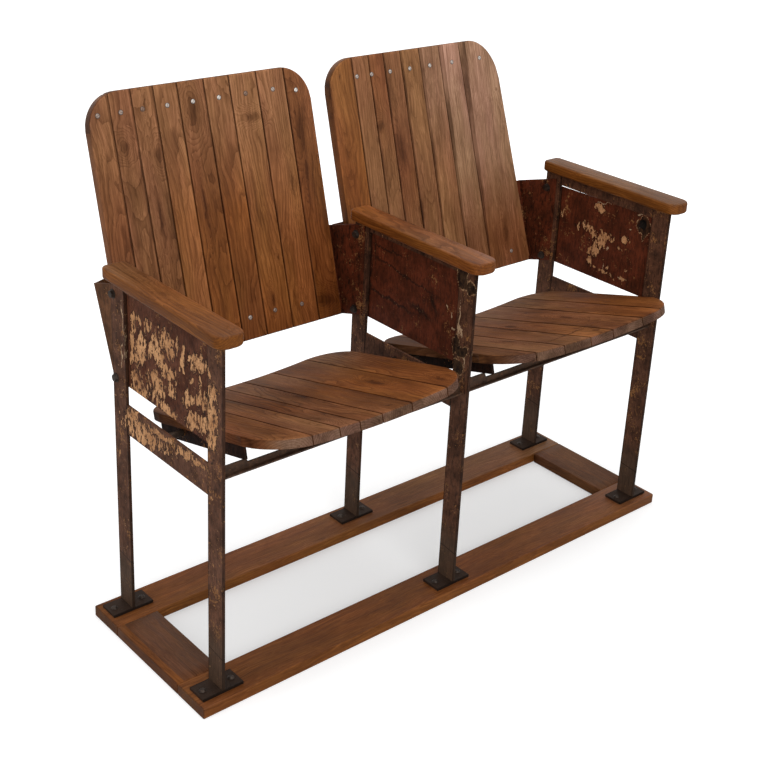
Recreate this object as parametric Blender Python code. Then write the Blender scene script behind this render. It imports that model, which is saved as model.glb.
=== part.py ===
"""Two-seat cinema chair on a wooden base: welded steel side frames, slatted backs and tip-up slatted seats.

Lengths are in metres and angles in degrees. X runs along the row, the sitter faces -Y and Z is up.
The base stands on Z = 0.
"""

import math

import bmesh
import bpy
from mathutils import Matrix, Vector

# How pieces meet
FIT_GAP = 0.0003
WELD_DEPTH = 0.001
CUT_OVERRUN = 0.002
PIVOT_CLEARANCE = 0.0005

# The row
FRAME_PITCH = 0.508
SEAT_COUNT = 2

# Wooden base
BASE_END_OVERHANG = 0.050
BASE_EDGE_MARGIN = 0.01375
BASE_THICKNESS = 0.021
LONG_PLANK_WIDTH = 0.077
CROSS_PLANK_WIDTH = 0.080
PLANK_EASE = 0.0015
EASED_ANGLE = 40.0

# Flat bar legs and their foot plates
LEG_WIDTH = 0.040
LEG_THICKNESS = 0.005
LEG_SPREAD = 0.278
FOOT_LENGTH = 0.078
FOOT_WIDTH = 0.0395
FOOT_THICKNESS = 0.005

# Brace strip between the legs
BRACE_BOTTOM = 0.372
BRACE_HEIGHT = 0.054
BRACE_THICKNESS = 0.004

# Angle iron under each armrest, one standard being a little taller than the others
ARM_IRON_TOP = 0.6435
RIGHT_ARM_LIFT = 0.0085
ARM_LIFTS = (0, 0, RIGHT_ARM_LIFT)
ARM_IRON_OVERHANG = 0.001
ARM_IRON_HEIGHT = 0.017
ARM_IRON_WIDTH = 0.025
ARM_IRON_THICKNESS = 0.003

# Sheet side panels
PANEL_SLOT = 0.032
PANEL_THICKNESS = 0.002
PANEL_LAP = 0.009
PANEL_SLIT = 0.004
RUST_HOLE_LENGTH = 0.022
RUST_HOLE_HEIGHT = 0.024
RUST_HOLE_INSET = 0.024
RUST_HOLE_DROP = 0.018
RUST_HOLE_SHARES = (
    (-0.46, 0.05), (-0.30, 0.36), (-0.05, 0.46), (0.18, 0.33), (0.44, 0.22),
    (0.35, -0.06), (0.47, -0.31), (0.10, -0.37), (-0.12, -0.50), (-0.36, -0.28),
)

# Armrests
ARMREST_OVERHANG = 0.026
ARMREST_REAR_SETBACK = 0.003
ARMREST_THICKNESS = 0.021
ARMREST_FRONT_WIDTH = 0.052
ARMREST_REAR_WIDTH = 0.044
ARMREST_FRONT_RADIUS = 0.020
ARMREST_REAR_RADIUS = 0.010
ARMREST_EASE = 0.004

# Backrests
BACK_ANGLE = 16.0
BACK_LENGTH = 0.467
BACK_SIDE_CLEARANCE = 0.0225
BACK_1_OUTER_CLEARANCE = 0.0315
BACK_WIDTHS = (
    FRAME_PITCH - BACK_1_OUTER_CLEARANCE - BACK_SIDE_CLEARANCE,
    FRAME_PITCH - 2 * BACK_SIDE_CLEARANCE,
)
BACK_SHIFTS = ((BACK_1_OUTER_CLEARANCE - BACK_SIDE_CLEARANCE) / 2, 0)
BACK_1_LEAN = 0.004
BACK_2_LEAN = 0.034
BACK_LEANS = (BACK_1_LEAN, BACK_2_LEAN)
BACK_LEAN_POWER = 2.5
BACK_SETBACK = 0.008
BACK_FRONT = LEG_SPREAD / 2 + LEG_WIDTH / 2 + BACK_SETBACK
BACK_RISE = 0.053
BACK_BOTTOM = BRACE_BOTTOM + BRACE_HEIGHT / 2 + BACK_RISE
BACK_TOP_RADIUS = 0.062
BACK_2_OUTER_RADIUS = 0.082
BACK_TOP_RADII = ((BACK_TOP_RADIUS, BACK_TOP_RADIUS), (BACK_TOP_RADIUS, BACK_2_OUTER_RADIUS))
BACK_BOTTOM_RADIUS = 0.008
BACK_SLAT_THICKNESS = 0.018
BACK_EDGE_RADIUS = 0.003
BACK_WIDTH_SHARES = (
    (43, 43, 44, 47, 54, 52, 58, 60, 53),
    (60, 41, 38, 44, 51, 56, 60, 112),
)

# Steel straps behind the backrest slats
STRAP_WIDTH = 0.025
STRAP_THICKNESS = 0.003
TOP_STRAP_DROP = 0.0365
TOP_STRAP_INSET = 0.0195
BACK_2_STRAP_INSET = 0.0685
TOP_STRAP_INSETS = ((TOP_STRAP_INSET, TOP_STRAP_INSET), (TOP_STRAP_INSET, BACK_2_STRAP_INSET))
LOW_STRAP_HEIGHT = 0.040

# Folded plates that hold the backrests to the rear legs
BRACKET_THICKNESS = 0.003
BRACKET_DROP = 0.0095
BRACKET_TOP_DROP = 0.0375
BRACKET_RISE = 17.0
BRACKET_CLEARANCE = 0.002
BRACKET_FLANGE = 0.050
BRACKET_SWEEP = 0.029
BRACKET_LOW_SETBACK = 0.027
BRACKET_HIGH_SETBACK = 0.010
BRACKET_SETBACKS = (((BRACKET_LOW_SETBACK, BRACKET_HIGH_SETBACK), (0, 0)), ((0, 0), (0, 0)))

# Gaps and edges of all slats
SLAT_GAP = 0.0015
SLAT_EASE = 0.0008
ARC_STEPS = 8

# Tip-up seats: angle of the top against the floor, each seat of the pair with its own size
SEAT_ANGLES = (14.6, 16.2)
SEAT_1_SIDE_CLEARANCE = 0.043
SEAT_2_SIDE_CLEARANCE = 0.025
SEAT_WIDTHS = (FRAME_PITCH - 2 * SEAT_1_SIDE_CLEARANCE, FRAME_PITCH - 2 * SEAT_2_SIDE_CLEARANCE)
SEAT_1_REAR = 0.128
SEAT_2_REAR = 0.108
SEAT_REARS = (SEAT_1_REAR, SEAT_2_REAR)
SEAT_1_DEPTH = 0.392
SEAT_2_DEPTH = 0.382
SEAT_DEPTHS = (SEAT_1_DEPTH, SEAT_2_DEPTH)
SEAT_1_SHIFT = -0.004
SEAT_SHIFTS = (SEAT_1_SHIFT, 0)
SEAT_DISH = 0.012
SEAT_FRONT_RADIUS = 0.080
SEAT_REAR_RADIUS = 0.070
SEAT_THICKNESS = 0.016
SEAT_EDGE_RADIUS = 0.005
SEAT_LOWER_RADIUS = 0.004
SEAT_WIDTH_SHARES = (
    (76, 52, 40, 45, 62, 78, 68),
    (62, 69, 69, 60, 83, 58, 59),
)

# Steel frame under each seat
PIVOT_DEPTH = 0.030
PIVOT_RISE = 0.0255
SEAT_ARM_CLEARANCE = 0.049
SEAT_ARM_SPREAD = FRAME_PITCH - 2 * SEAT_ARM_CLEARANCE
SEAT_ARM_HEIGHT = 0.023
SEAT_ARM_THICKNESS = 0.005
SEAT_ARM_REAR = 0.066
SEAT_1_ARM_OVERRUN = 0.009
SEAT_2_ARM_OVERRUN = 0.028
SEAT_ARM_OVERRUNS = (SEAT_1_ARM_OVERRUN, SEAT_2_ARM_OVERRUN)
SEAT_STRAP_WIDTH = 0.025
SEAT_STRAP_THICKNESS = 0.003
REAR_STRAP_PLACE = 0.040
MIDDLE_STRAP_PLACE = -0.070
SEAT_STRAP_STEPS = 8

# Pivot studs
STUD_FLANGE_RADIUS = 0.012
STUD_FLANGE_THICKNESS = 0.004
STUD_RADIUS = 0.004
STUD_SHOULDER_RADIUS = 0.006
STUD_HEAD_RADIUS = 0.0055
STUD_HEAD_THICKNESS = 0.004
STUD_PLAY = 0.0005
STUD_SIDES = 20

# Angle iron across the front, with the stop that the seat rests on
CROSS_BAR_HEIGHT = 0.0125
CROSS_BAR_WIDTH = 0.010
CROSS_BAR_THICKNESS = 0.003
CROSS_BAR_OFFSET = 0.001
CROSS_BAR_RISE = 0.0095
STOP_LENGTH = 0.055
STOP_CHAMFER = 0.004

# Colours as linear values, with roughness and how metallic the surface is
FINISHES = {
    "teak_base": ((0.150, 0.060, 0.026), 0.55, 0.0),
    "teak_base_dark": ((0.070, 0.030, 0.015), 0.60, 0.0),
    "teak_back": ((0.175, 0.075, 0.030), 0.50, 0.0),
    "teak_seat": ((0.150, 0.055, 0.022), 0.50, 0.0),
    "teak_arm": ((0.180, 0.070, 0.028), 0.50, 0.0),
    "worn_paint": ((0.055, 0.020, 0.016), 0.60, 0.2),
    "chipped_paint": ((0.090, 0.035, 0.025), 0.65, 0.1),
    "dark_steel": ((0.020, 0.015, 0.013), 0.55, 0.6),
    "worn_steel": ((0.180, 0.165, 0.150), 0.40, 0.9),
}


def clear_scene():
    """An empty file to model in."""
    for item in list(bpy.data.objects):
        bpy.data.objects.remove(item, do_unlink=True)


def finish_named(name):
    """A plain material in one of the chair's finishes."""
    found = bpy.data.materials.get(name)
    if found:
        return found
    colour, roughness, metallic = FINISHES[name]
    made = bpy.data.materials.new(name)
    made.use_nodes = True
    shader = made.node_tree.nodes["Principled BSDF"]
    shader.inputs["Base Color"].default_value = (*colour, 1.0)
    shader.inputs["Roughness"].default_value = roughness
    shader.inputs["Metallic"].default_value = metallic
    made.diffuse_color = (*colour, 1.0)
    return made


def empty_at(name, location, tilt=0.0, parent=None):
    """A guide point, turned back by an angle about X."""
    guide = bpy.data.objects.new(name, None)
    guide.location = location
    guide.rotation_euler = (-math.radians(tilt), 0.0, 0.0)
    guide.parent = parent
    bpy.context.scene.collection.objects.link(guide)
    return guide


def place(name, mesh, finish, parent, location=(0, 0, 0), rotation=(0, 0, 0)):
    """One named piece in the scene."""
    piece = bpy.data.objects.new(name, mesh)
    piece.location = location
    piece.rotation_euler = rotation
    piece.parent = parent
    mesh.materials.clear()
    mesh.materials.append(finish_named(finish))
    bpy.context.scene.collection.objects.link(piece)
    return piece


def skin_mesh(name, rings):
    """A closed skin through rings of equally many points, capped at both ends."""
    shape = bmesh.new()
    rows = [[shape.verts.new(point) for point in ring] for ring in rings]
    for low, high in zip(rows, rows[1:]):
        for i, corner in enumerate(low):
            j = (i + 1) % len(low)
            shape.faces.new((corner, low[j], high[j], high[i]))
    shape.faces.new(list(reversed(rows[0])))
    shape.faces.new(rows[-1])
    bmesh.ops.recalc_face_normals(shape, faces=shape.faces)
    mesh = bpy.data.meshes.new(name)
    shape.to_mesh(mesh)
    shape.free()
    return mesh


def box_mesh(name, low, high):
    """A block between two opposite corners."""
    low, high = Vector(low), Vector(high)
    shape = bmesh.new()
    middle = Matrix.Translation((low + high) / 2)
    bmesh.ops.create_cube(shape, size=1.0, matrix=middle @ Matrix.Diagonal((*(high - low), 1.0)))
    mesh = bpy.data.meshes.new(name)
    shape.to_mesh(mesh)
    shape.free()
    return mesh


def plate_mesh(name, outline, near, far):
    """A plate cut to an outline in the YZ plane, from near to far along X."""
    return skin_mesh(name, [[(x, y, z) for y, z in outline] for x in (near, far)])


def rod_mesh(name, steps):
    """A turned rod along X from (place, radius) steps."""
    angles = [2 * math.pi * k / STUD_SIDES for k in range(STUD_SIDES)]
    rings = [[(x, r * math.cos(a), r * math.sin(a)) for a in angles] for x, r in steps]
    return skin_mesh(name, rings)


def ease_edges(piece, width, segments=1):
    """Soft edges by a bevel."""
    bevel = piece.modifiers.new("eased_edges", "BEVEL")
    bevel.width = width
    bevel.segments = segments
    bevel.limit_method = "ANGLE"
    bevel.angle_limit = math.radians(EASED_ANGLE)


def combined(name, first, others, operation):
    """The first mesh joined with the others, or cut by them, as one closed body."""
    base = bpy.data.objects.new(name, first)
    bpy.context.scene.collection.objects.link(base)
    tools = []
    for other in others:
        tool = bpy.data.objects.new(name + "_tool", other)
        tool.hide_render = True
        tool.display_type = "WIRE"
        bpy.context.scene.collection.objects.link(tool)
        tools.append(tool)
        step = base.modifiers.new(operation.lower(), "BOOLEAN")
        step.operation = operation
        step.object = tool
    bpy.context.view_layer.update()
    evaluated = base.evaluated_get(bpy.context.evaluated_depsgraph_get())
    result = bpy.data.meshes.new_from_object(evaluated)
    result.name = name
    for item in [base, *tools]:
        bpy.data.objects.remove(item, do_unlink=True)
    return result


def rounded_outline(corners):
    """A closed outline with each corner (x, y, radius) rounded by an arc."""
    points = []
    for i, (x, y, radius) in enumerate(corners):
        corner = Vector((x, y))
        before = (Vector(corners[i - 1][:2]) - corner).normalized()
        after = (Vector(corners[(i + 1) % len(corners)][:2]) - corner).normalized()
        half = before.angle(after) / 2
        reach = radius / math.tan(half)
        centre = corner + (before + after).normalized() * (radius / math.sin(half))
        start = corner + before * reach - centre
        turn = (corner + after * reach - centre).angle_signed(start)
        for k in range(ARC_STEPS + 1):
            points.append(centre + Matrix.Rotation(turn * k / ARC_STEPS, 2) @ start)
    return points


def frame_places():
    """X of each side frame, left to right."""
    return [FRAME_PITCH * (k - SEAT_COUNT / 2) for k in range(SEAT_COUNT + 1)]


def seat_centre(number):
    """X of the middle of a place, half way between its side frames."""
    return FRAME_PITCH * (number - (SEAT_COUNT - 1) / 2)


def row_centre():
    """Y half way between the front edge of the seats and the rear top edge of the backrests."""
    fronts = []
    for angle, rear, depth in zip(SEAT_ANGLES, SEAT_REARS, SEAT_DEPTHS):
        tilt = math.radians(angle)
        level = PIVOT_RISE - SEAT_THICKNESS + SEAT_LOWER_RADIUS - SEAT_DISH
        fronts.append(PIVOT_DEPTH - (depth - rear) * math.cos(tilt) + level * math.sin(tilt))
    tilt = math.radians(BACK_ANGLE)
    rear_top = BACK_FRONT + BACK_LENGTH * math.sin(tilt) + BACK_SLAT_THICKNESS * math.cos(tilt)
    rear_top -= SLAT_EASE * math.sin(tilt)
    return (min(fronts) + rear_top) / 2


def build_base(row):
    """Four planks: two long ones, and two short ones between them."""
    edge_x = SEAT_COUNT * FRAME_PITCH / 2 + BASE_END_OVERHANG
    edge_y = (LEG_SPREAD + FOOT_WIDTH) / 2 + BASE_EDGE_MARGIN
    inner_y = edge_y - LONG_PLANK_WIDTH
    for name, side in (("front_base_plank", -1), ("rear_base_plank", 1)):
        ys = sorted((side * edge_y, side * inner_y))
        mesh = box_mesh(name, (-edge_x, ys[0], 0), (edge_x, ys[1], BASE_THICKNESS))
        ease_edges(place(name, mesh, "teak_base", row), PLANK_EASE)
    reach = inner_y - FIT_GAP
    for name, side in (("left_base_plank", -1), ("right_base_plank", 1)):
        xs = sorted((side * edge_x, side * (edge_x - CROSS_PLANK_WIDTH)))
        mesh = box_mesh(name, (xs[0], -reach, 0), (xs[1], reach, BASE_THICKNESS))
        ease_edges(place(name, mesh, "teak_base_dark", row), PLANK_EASE)


def side_frame_mesh(name, lift):
    """Legs, foot plates, brace and arm iron, welded together."""
    foot = BASE_THICKNESS + FIT_GAP
    iron_top = ARM_IRON_TOP + lift - FIT_GAP
    leg_top = iron_top - ARM_IRON_THICKNESS + WELD_DEPTH
    parts = []
    for side in (-1, 1):
        middle = side * LEG_SPREAD / 2
        low = (-LEG_THICKNESS, middle - LEG_WIDTH / 2, foot + FOOT_THICKNESS - WELD_DEPTH)
        high = (0, middle + LEG_WIDTH / 2, leg_top)
        parts.append(box_mesh("leg", low, high))
        low = (-(LEG_THICKNESS + FOOT_LENGTH) / 2, middle - FOOT_WIDTH / 2, foot)
        high = ((FOOT_LENGTH - LEG_THICKNESS) / 2, middle + FOOT_WIDTH / 2, foot + FOOT_THICKNESS)
        parts.append(box_mesh("foot", low, high))
    reach = LEG_SPREAD / 2 - LEG_WIDTH / 2 + WELD_DEPTH
    side_face = (LEG_THICKNESS - BRACE_THICKNESS) / 2
    low = (side_face - LEG_THICKNESS, -reach, BRACE_BOTTOM)
    high = (-side_face, reach, BRACE_BOTTOM + BRACE_HEIGHT)
    parts.append(box_mesh("brace", low, high))
    iron_low = panel_top() + PANEL_SLIT
    inner = iron_top - ARM_IRON_THICKNESS
    heel = WELD_DEPTH - LEG_THICKNESS
    web = heel + ARM_IRON_THICKNESS
    toe = heel + ARM_IRON_WIDTH
    section = [
        (heel, iron_top), (heel, iron_low), (web, iron_low),
        (web, inner), (toe, inner), (toe, iron_top),
    ]
    end = LEG_SPREAD / 2 + LEG_WIDTH / 2 + ARM_IRON_OVERHANG
    parts.append(skin_mesh("arm_iron", [[(x, y, z) for x, z in section] for y in (-end, end)]))
    return combined(name, parts[0], parts[1:], "UNION")


def panel_top():
    """Top edge of the side panels, a slit below the arm iron."""
    return ARM_IRON_TOP - FIT_GAP - ARM_IRON_HEIGHT - PANEL_SLIT


def panel_reach():
    """Distance of the side panels' front and rear edge from the middle, a small lap over the legs."""
    return LEG_SPREAD / 2 - LEG_WIDTH / 2 + PANEL_LAP


def side_panel_mesh(name, rusted):
    """A sheet that laps a little over both legs; the rusted one has a hole eaten through it."""
    reach = panel_reach()
    low = (FIT_GAP, -reach, BRACE_BOTTOM + BRACE_HEIGHT + PANEL_SLOT)
    high = (FIT_GAP + PANEL_THICKNESS, reach, panel_top())
    sheet = box_mesh(name, low, high)
    if not rusted:
        return sheet
    middle_y = -reach + PANEL_LAP + RUST_HOLE_INSET
    middle_z = panel_top() - RUST_HOLE_DROP
    outline = []
    for along, up in RUST_HOLE_SHARES:
        outline.append((middle_y + along * RUST_HOLE_LENGTH, middle_z + up * RUST_HOLE_HEIGHT))
    cutter = plate_mesh("rust", outline, -CUT_OVERRUN, FIT_GAP + PANEL_THICKNESS + CUT_OVERRUN)
    return combined(name, sheet, [cutter], "DIFFERENCE")


def armrest_mesh(name):
    """A board with a wide rounded front and a slightly narrower rear."""
    front = -LEG_SPREAD / 2 - LEG_WIDTH / 2 - ARMREST_OVERHANG
    rear = LEG_SPREAD / 2 + LEG_WIDTH / 2 - ARMREST_REAR_SETBACK
    wide, narrow = ARMREST_FRONT_WIDTH / 2, ARMREST_REAR_WIDTH / 2
    outline = rounded_outline([
        (-wide, front, ARMREST_FRONT_RADIUS), (wide, front, ARMREST_FRONT_RADIUS),
        (narrow, rear, ARMREST_REAR_RADIUS), (-narrow, rear, ARMREST_REAR_RADIUS),
    ])
    return skin_mesh(name, [[(x, y, z) for x, y in outline] for z in (0, ARMREST_THICKNESS)])


def build_side_frames(row):
    """The three standards, each with its panel and armrest."""
    names = ("left", "middle", "right")
    for side, x, lift in zip(names, frame_places(), ARM_LIFTS):
        stand = empty_at(side + "_standard", (x, 0, 0), parent=row)
        place(side + "_side_frame", side_frame_mesh(side + "_side_frame", lift), "worn_paint", stand)
        panel = side_panel_mesh(side + "_side_panel", side == "right")
        place(side + "_side_panel", panel, "chipped_paint", stand)
        shape = armrest_mesh(side + "_armrest")
        seated = (-LEG_THICKNESS / 2, 0, ARM_IRON_TOP + lift)
        armrest = place(side + "_armrest", shape, "teak_arm", stand, seated)
        ease_edges(armrest, ARMREST_EASE, 3)


def back_line(height):
    """Y of the backrests' rear face at a height."""
    tilt = math.radians(BACK_ANGLE)
    return BACK_FRONT + (height - BACK_BOTTOM) * math.tan(tilt) + BACK_SLAT_THICKNESS / math.cos(tilt)


def bracket_faces():
    """Distance of a bracket flange's front and rear face behind the backrest, along Y."""
    slope = math.cos(math.radians(BACK_ANGLE))
    return FIT_GAP / slope, (FIT_GAP + BRACKET_THICKNESS) / slope


def back_bracket_mesh(name, face, side, setbacks):
    """A plate on the rear leg, its ends rising to the front, that runs on to a flange behind the backrest.

    The setbacks say how far forward of the flange the plate's rear edge stands, below and above.
    """
    rise = math.tan(math.radians(BRACKET_RISE))
    lean = math.tan(math.radians(BACK_ANGLE))
    near, far = bracket_faces()
    front = panel_reach() + BRACKET_CLEARANCE
    corners = []
    for height, setback in zip((BACK_BOTTOM - BRACKET_DROP, ARM_IRON_TOP - BRACKET_TOP_DROP), setbacks):
        inner = height + (far - near) / (lean + 1 / rise)
        corners.append((height, back_line(height) + far, inner, back_line(inner) + near, setback))
    rears = [(rear - setback, height) for height, rear, _, _, setback in corners]
    fronts = [(front, height + (rear - front) * rise) for rear, height in reversed(rears)]
    sheet = plate_mesh("plate", rears + fronts, face, face + side * BRACKET_THICKNESS)
    rings = []
    for x, share in ((WELD_DEPTH, 1), (BRACKET_THICKNESS, 1), (BRACKET_SWEEP, 0), (BRACKET_FLANGE, 0)):
        ring = []
        for (height, rear, inner, fore, setback), order in zip(corners, (1, -1)):
            shift = setback * share
            place_x = face + side * x
            ring += [(place_x, rear - shift, height), (place_x, fore - shift, inner)][::order]
        rings.append(ring)
    return combined(name, sheet, [skin_mesh("flange", rings)], "UNION")


def build_back_brackets(row):
    """One bracket at each side of each backrest, on the face of the leg that looks at the seat."""
    for number in range(SEAT_COUNT):
        left_frame, right_frame = frame_places()[number:number + 2]
        places = (("left", left_frame, FIT_GAP, 1), ("right", right_frame, -LEG_THICKNESS - FIT_GAP, -1))
        for (label, x, face, side), setbacks in zip(places, BRACKET_SETBACKS[number]):
            name = f"back_{number + 1}_{label}_bracket"
            mesh = back_bracket_mesh(name, face, side, setbacks)
            place(name, mesh, "worn_paint", row, (x, 0, 0))


def arc_drop(distance, half_width, radius):
    """How far a rounded corner falls short of the straight edge."""
    run = min(max(distance - (half_width - radius), 0), radius)
    return radius - math.sqrt(radius ** 2 - run ** 2)


def dish_drop(x, half_width, dish):
    """How far a dished board lies below its side edges."""
    return dish * (1 - (x / half_width) ** 2)


def slat_mesh(name, left, right, half_width, low, high, radii, levels, dish=0.0):
    """A slat from left to right, its ends cut to the rounded outline of the whole board.

    The radii are (low, high) for the board's left and right corners.
    Each level is (height, end inset, side inset).
    """
    left_corner = left < -half_width + max(radii[0])
    right_corner = right > half_width - max(radii[1])
    steps = ARC_STEPS if left_corner or right_corner else 1
    shares = [k / steps for k in range(steps + 1)]
    if left == -half_width:
        shares = [1 - math.cos(share * math.pi / 2) for share in shares]
    elif right == half_width:
        shares = [math.sin(share * math.pi / 2) for share in shares]
    start = left + (0 if left == -half_width else SLAT_GAP / 2)
    end = right - (0 if right == half_width else SLAT_GAP / 2)
    rings = []
    for height, end_inset, side_inset in levels:
        first = start + (end_inset if left == -half_width else side_inset)
        last = end - (end_inset if right == half_width else side_inset)
        xs = [first + (last - first) * share for share in shares]
        drops = [[arc_drop(abs(x), half_width, radius) for radius in radii[int(x > 0)]] for x in xs]
        lows = [(x, low + end_inset + drop[0]) for x, drop in zip(xs, drops)]
        highs = [(x, high - end_inset - drop[1]) for x, drop in zip(reversed(xs), reversed(drops))]
        rings.append([(x, y, height - dish_drop(x, half_width, dish)) for x, y in lows + highs])
    return skin_mesh(name, rings)


def slat_levels(thickness, lower_radius, upper_radius):
    """Heights and insets of a slat's section, rounded at its lower and its upper edge."""
    turn = 1 - math.sin(math.pi / 4)
    return (
        (0, lower_radius, SLAT_EASE), (lower_radius * turn, lower_radius * turn, 0), (lower_radius, 0, 0),
        (thickness - upper_radius, 0, 0), (thickness - upper_radius * turn, upper_radius * turn, 0),
        (thickness - SLAT_EASE / 2, upper_radius * (1 + turn) / 2, SLAT_EASE / 2),
        (thickness, upper_radius, SLAT_EASE),
    )


def slat_edges(width, shares):
    """The left and right edge of each slat of a board."""
    edges = [-width / 2]
    for k in range(1, len(shares)):
        edges.append(width * (sum(shares[:k]) / sum(shares)) - width / 2)
    edges.append(width / 2)
    return list(zip(edges, edges[1:]))


def lean_in(mesh, inner, width, lean):
    """Draws a board's outer edge in toward its top, the inner edge staying square."""
    for vertex in mesh.vertices:
        share = abs(vertex.co.x - inner) / width
        shift = lean * share ** BACK_LEAN_POWER * vertex.co.y / BACK_LENGTH
        vertex.co.x += math.copysign(shift, inner - vertex.co.x)


def build_backrest(row, number):
    """Slats side by side on two steel straps, the lower one between the brackets."""
    label = f"back_{number + 1}_"
    width = BACK_WIDTHS[number]
    centre = seat_centre(number) + BACK_SHIFTS[number]
    board = empty_at(label + "board", (centre, BACK_FRONT, BACK_BOTTOM), BACK_ANGLE, row)
    levels = slat_levels(BACK_SLAT_THICKNESS, SLAT_EASE, BACK_EDGE_RADIUS)
    radii = [(BACK_BOTTOM_RADIUS, top_radius) for top_radius in BACK_TOP_RADII[number]]
    inner = width / 2 if number == 0 else -width / 2
    for k, (left, right) in enumerate(slat_edges(width, BACK_WIDTH_SHARES[number])):
        name = f"{label}slat_{k + 1}"
        mesh = slat_mesh(name, left, right, width / 2, 0, BACK_LENGTH, radii, levels)
        lean_in(mesh, inner, width, BACK_LEANS[number])
        place(name, mesh, "teak_back", board, (0, BACK_SLAT_THICKNESS, 0), (math.pi / 2, 0, 0))
    near = BACK_SLAT_THICKNESS + FIT_GAP
    left_frame, right_frame = frame_places()[number:number + 2]
    margin = BRACKET_FLANGE + 2 * FIT_GAP
    insets = TOP_STRAP_INSETS[number]
    for name, height, ends in (
        (label + "top_strap", BACK_LENGTH - TOP_STRAP_DROP, (insets[0] - width / 2, width / 2 - insets[1])),
        (label + "low_strap", LOW_STRAP_HEIGHT,
         (left_frame + margin - centre, right_frame - LEG_THICKNESS - margin - centre)),
    ):
        low = (ends[0], near, height - STRAP_WIDTH / 2)
        high = (ends[1], near + STRAP_THICKNESS, height + STRAP_WIDTH / 2)
        place(name, box_mesh(name, low, high), "dark_steel", board)


def pivot_height():
    """Z of the seats' axis, half way up the brace strips."""
    return BRACE_BOTTOM + BRACE_HEIGHT / 2


def seat_dip(number, x):
    """How far a seat's dished top lies below its side edges."""
    return dish_drop(x, SEAT_WIDTHS[number] / 2, SEAT_DISH)


def seat_frame_mesh(name, number):
    """Two arms on edge, joined by flat straps that follow the dish."""
    under = PIVOT_RISE - SEAT_THICKNESS - FIT_GAP
    outer = SEAT_ARM_SPREAD / 2
    inner = outer - SEAT_ARM_THICKNESS
    front = -PIVOT_DEPTH - LEG_SPREAD / 2 - SEAT_ARM_OVERRUNS[number]
    top = under - seat_dip(number, inner)
    hole_radius = STUD_RADIUS + PIVOT_CLEARANCE
    parts = []
    for side in (-1, 1):
        xs = sorted((side * inner, side * outer))
        arm = box_mesh("arm", (xs[0], front, top - SEAT_ARM_HEIGHT), (xs[1], SEAT_ARM_REAR, top))
        ends = (xs[0] - CUT_OVERRUN, xs[1] + CUT_OVERRUN)
        hole = rod_mesh("hole", [(x, hole_radius) for x in ends])
        parts.append(combined("arm", arm, [hole], "DIFFERENCE"))
    reach = inner + WELD_DEPTH
    for middle in (REAR_STRAP_PLACE, MIDDLE_STRAP_PLACE, front + SEAT_STRAP_WIDTH / 2):
        rings = []
        for k in range(SEAT_STRAP_STEPS + 1):
            x = reach * (2 * k / SEAT_STRAP_STEPS - 1)
            high = under - max(seat_dip(number, x), seat_dip(number, inner))
            low = high - SEAT_STRAP_THICKNESS
            near, far = middle - SEAT_STRAP_WIDTH / 2, middle + SEAT_STRAP_WIDTH / 2
            rings.append([(x, near, low), (x, far, low), (x, far, high), (x, near, high)])
        parts.append(skin_mesh("strap", rings))
    return combined(name, parts[0], parts[1:], "UNION")


def build_seat(row, number):
    """A tip-up seat on its axis: slats on a welded frame."""
    label = f"seat_{number + 1}_"
    centre = seat_centre(number) + SEAT_SHIFTS[number]
    axis = empty_at(label + "axis", (centre, PIVOT_DEPTH, pivot_height()), SEAT_ANGLES[number], row)
    width = SEAT_WIDTHS[number]
    rear = SEAT_REARS[number]
    front = rear - SEAT_DEPTHS[number]
    radii = [(SEAT_FRONT_RADIUS, SEAT_REAR_RADIUS)] * 2
    levels = slat_levels(SEAT_THICKNESS, SEAT_LOWER_RADIUS, SEAT_EDGE_RADIUS)
    for k, (left, right) in enumerate(slat_edges(width, SEAT_WIDTH_SHARES[number])):
        name = f"{label}slat_{k + 1}"
        mesh = slat_mesh(name, left, right, width / 2, front, rear, radii, levels, SEAT_DISH)
        place(name, mesh, "teak_seat", axis, (0, 0, PIVOT_RISE - SEAT_THICKNESS))
    place(label + "frame", seat_frame_mesh(label + "frame", number), "dark_steel", axis)


def build_pivot_studs(row, number):
    """A shouldered stud at each side, from the brace through the seat's arm."""
    centre = seat_centre(number) + SEAT_SHIFTS[number]
    arm = SEAT_ARM_SPREAD / 2
    left_frame, right_frame = frame_places()[number:number + 2]
    brace_face = (LEG_THICKNESS - BRACE_THICKNESS) / 2
    for side, start, way in (
        ("left", left_frame - brace_face + FIT_GAP, 1),
        ("right", right_frame - LEG_THICKNESS + brace_face - FIT_GAP, -1),
    ):
        reach = abs(centre - way * arm - start)
        steps = [
            (0, STUD_FLANGE_RADIUS), (STUD_FLANGE_THICKNESS, STUD_FLANGE_RADIUS),
            (STUD_FLANGE_THICKNESS, STUD_SHOULDER_RADIUS), (reach - STUD_PLAY, STUD_SHOULDER_RADIUS),
            (reach - STUD_PLAY, STUD_RADIUS), (reach + SEAT_ARM_THICKNESS + STUD_PLAY, STUD_RADIUS),
            (reach + SEAT_ARM_THICKNESS + STUD_PLAY, STUD_HEAD_RADIUS),
            (reach + SEAT_ARM_THICKNESS + STUD_PLAY + STUD_HEAD_THICKNESS, STUD_HEAD_RADIUS),
        ]
        name = f"seat_{number + 1}_{side}_pivot_stud"
        mesh = rod_mesh(name, [(way * x, radius) for x, radius in steps])
        place(name, mesh, "worn_steel", row, (start, PIVOT_DEPTH, pivot_height()))


def cross_bar_rear():
    """Y of the cross bars' upright face, just behind the middle of the front legs."""
    return CROSS_BAR_OFFSET - LEG_SPREAD / 2


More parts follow.
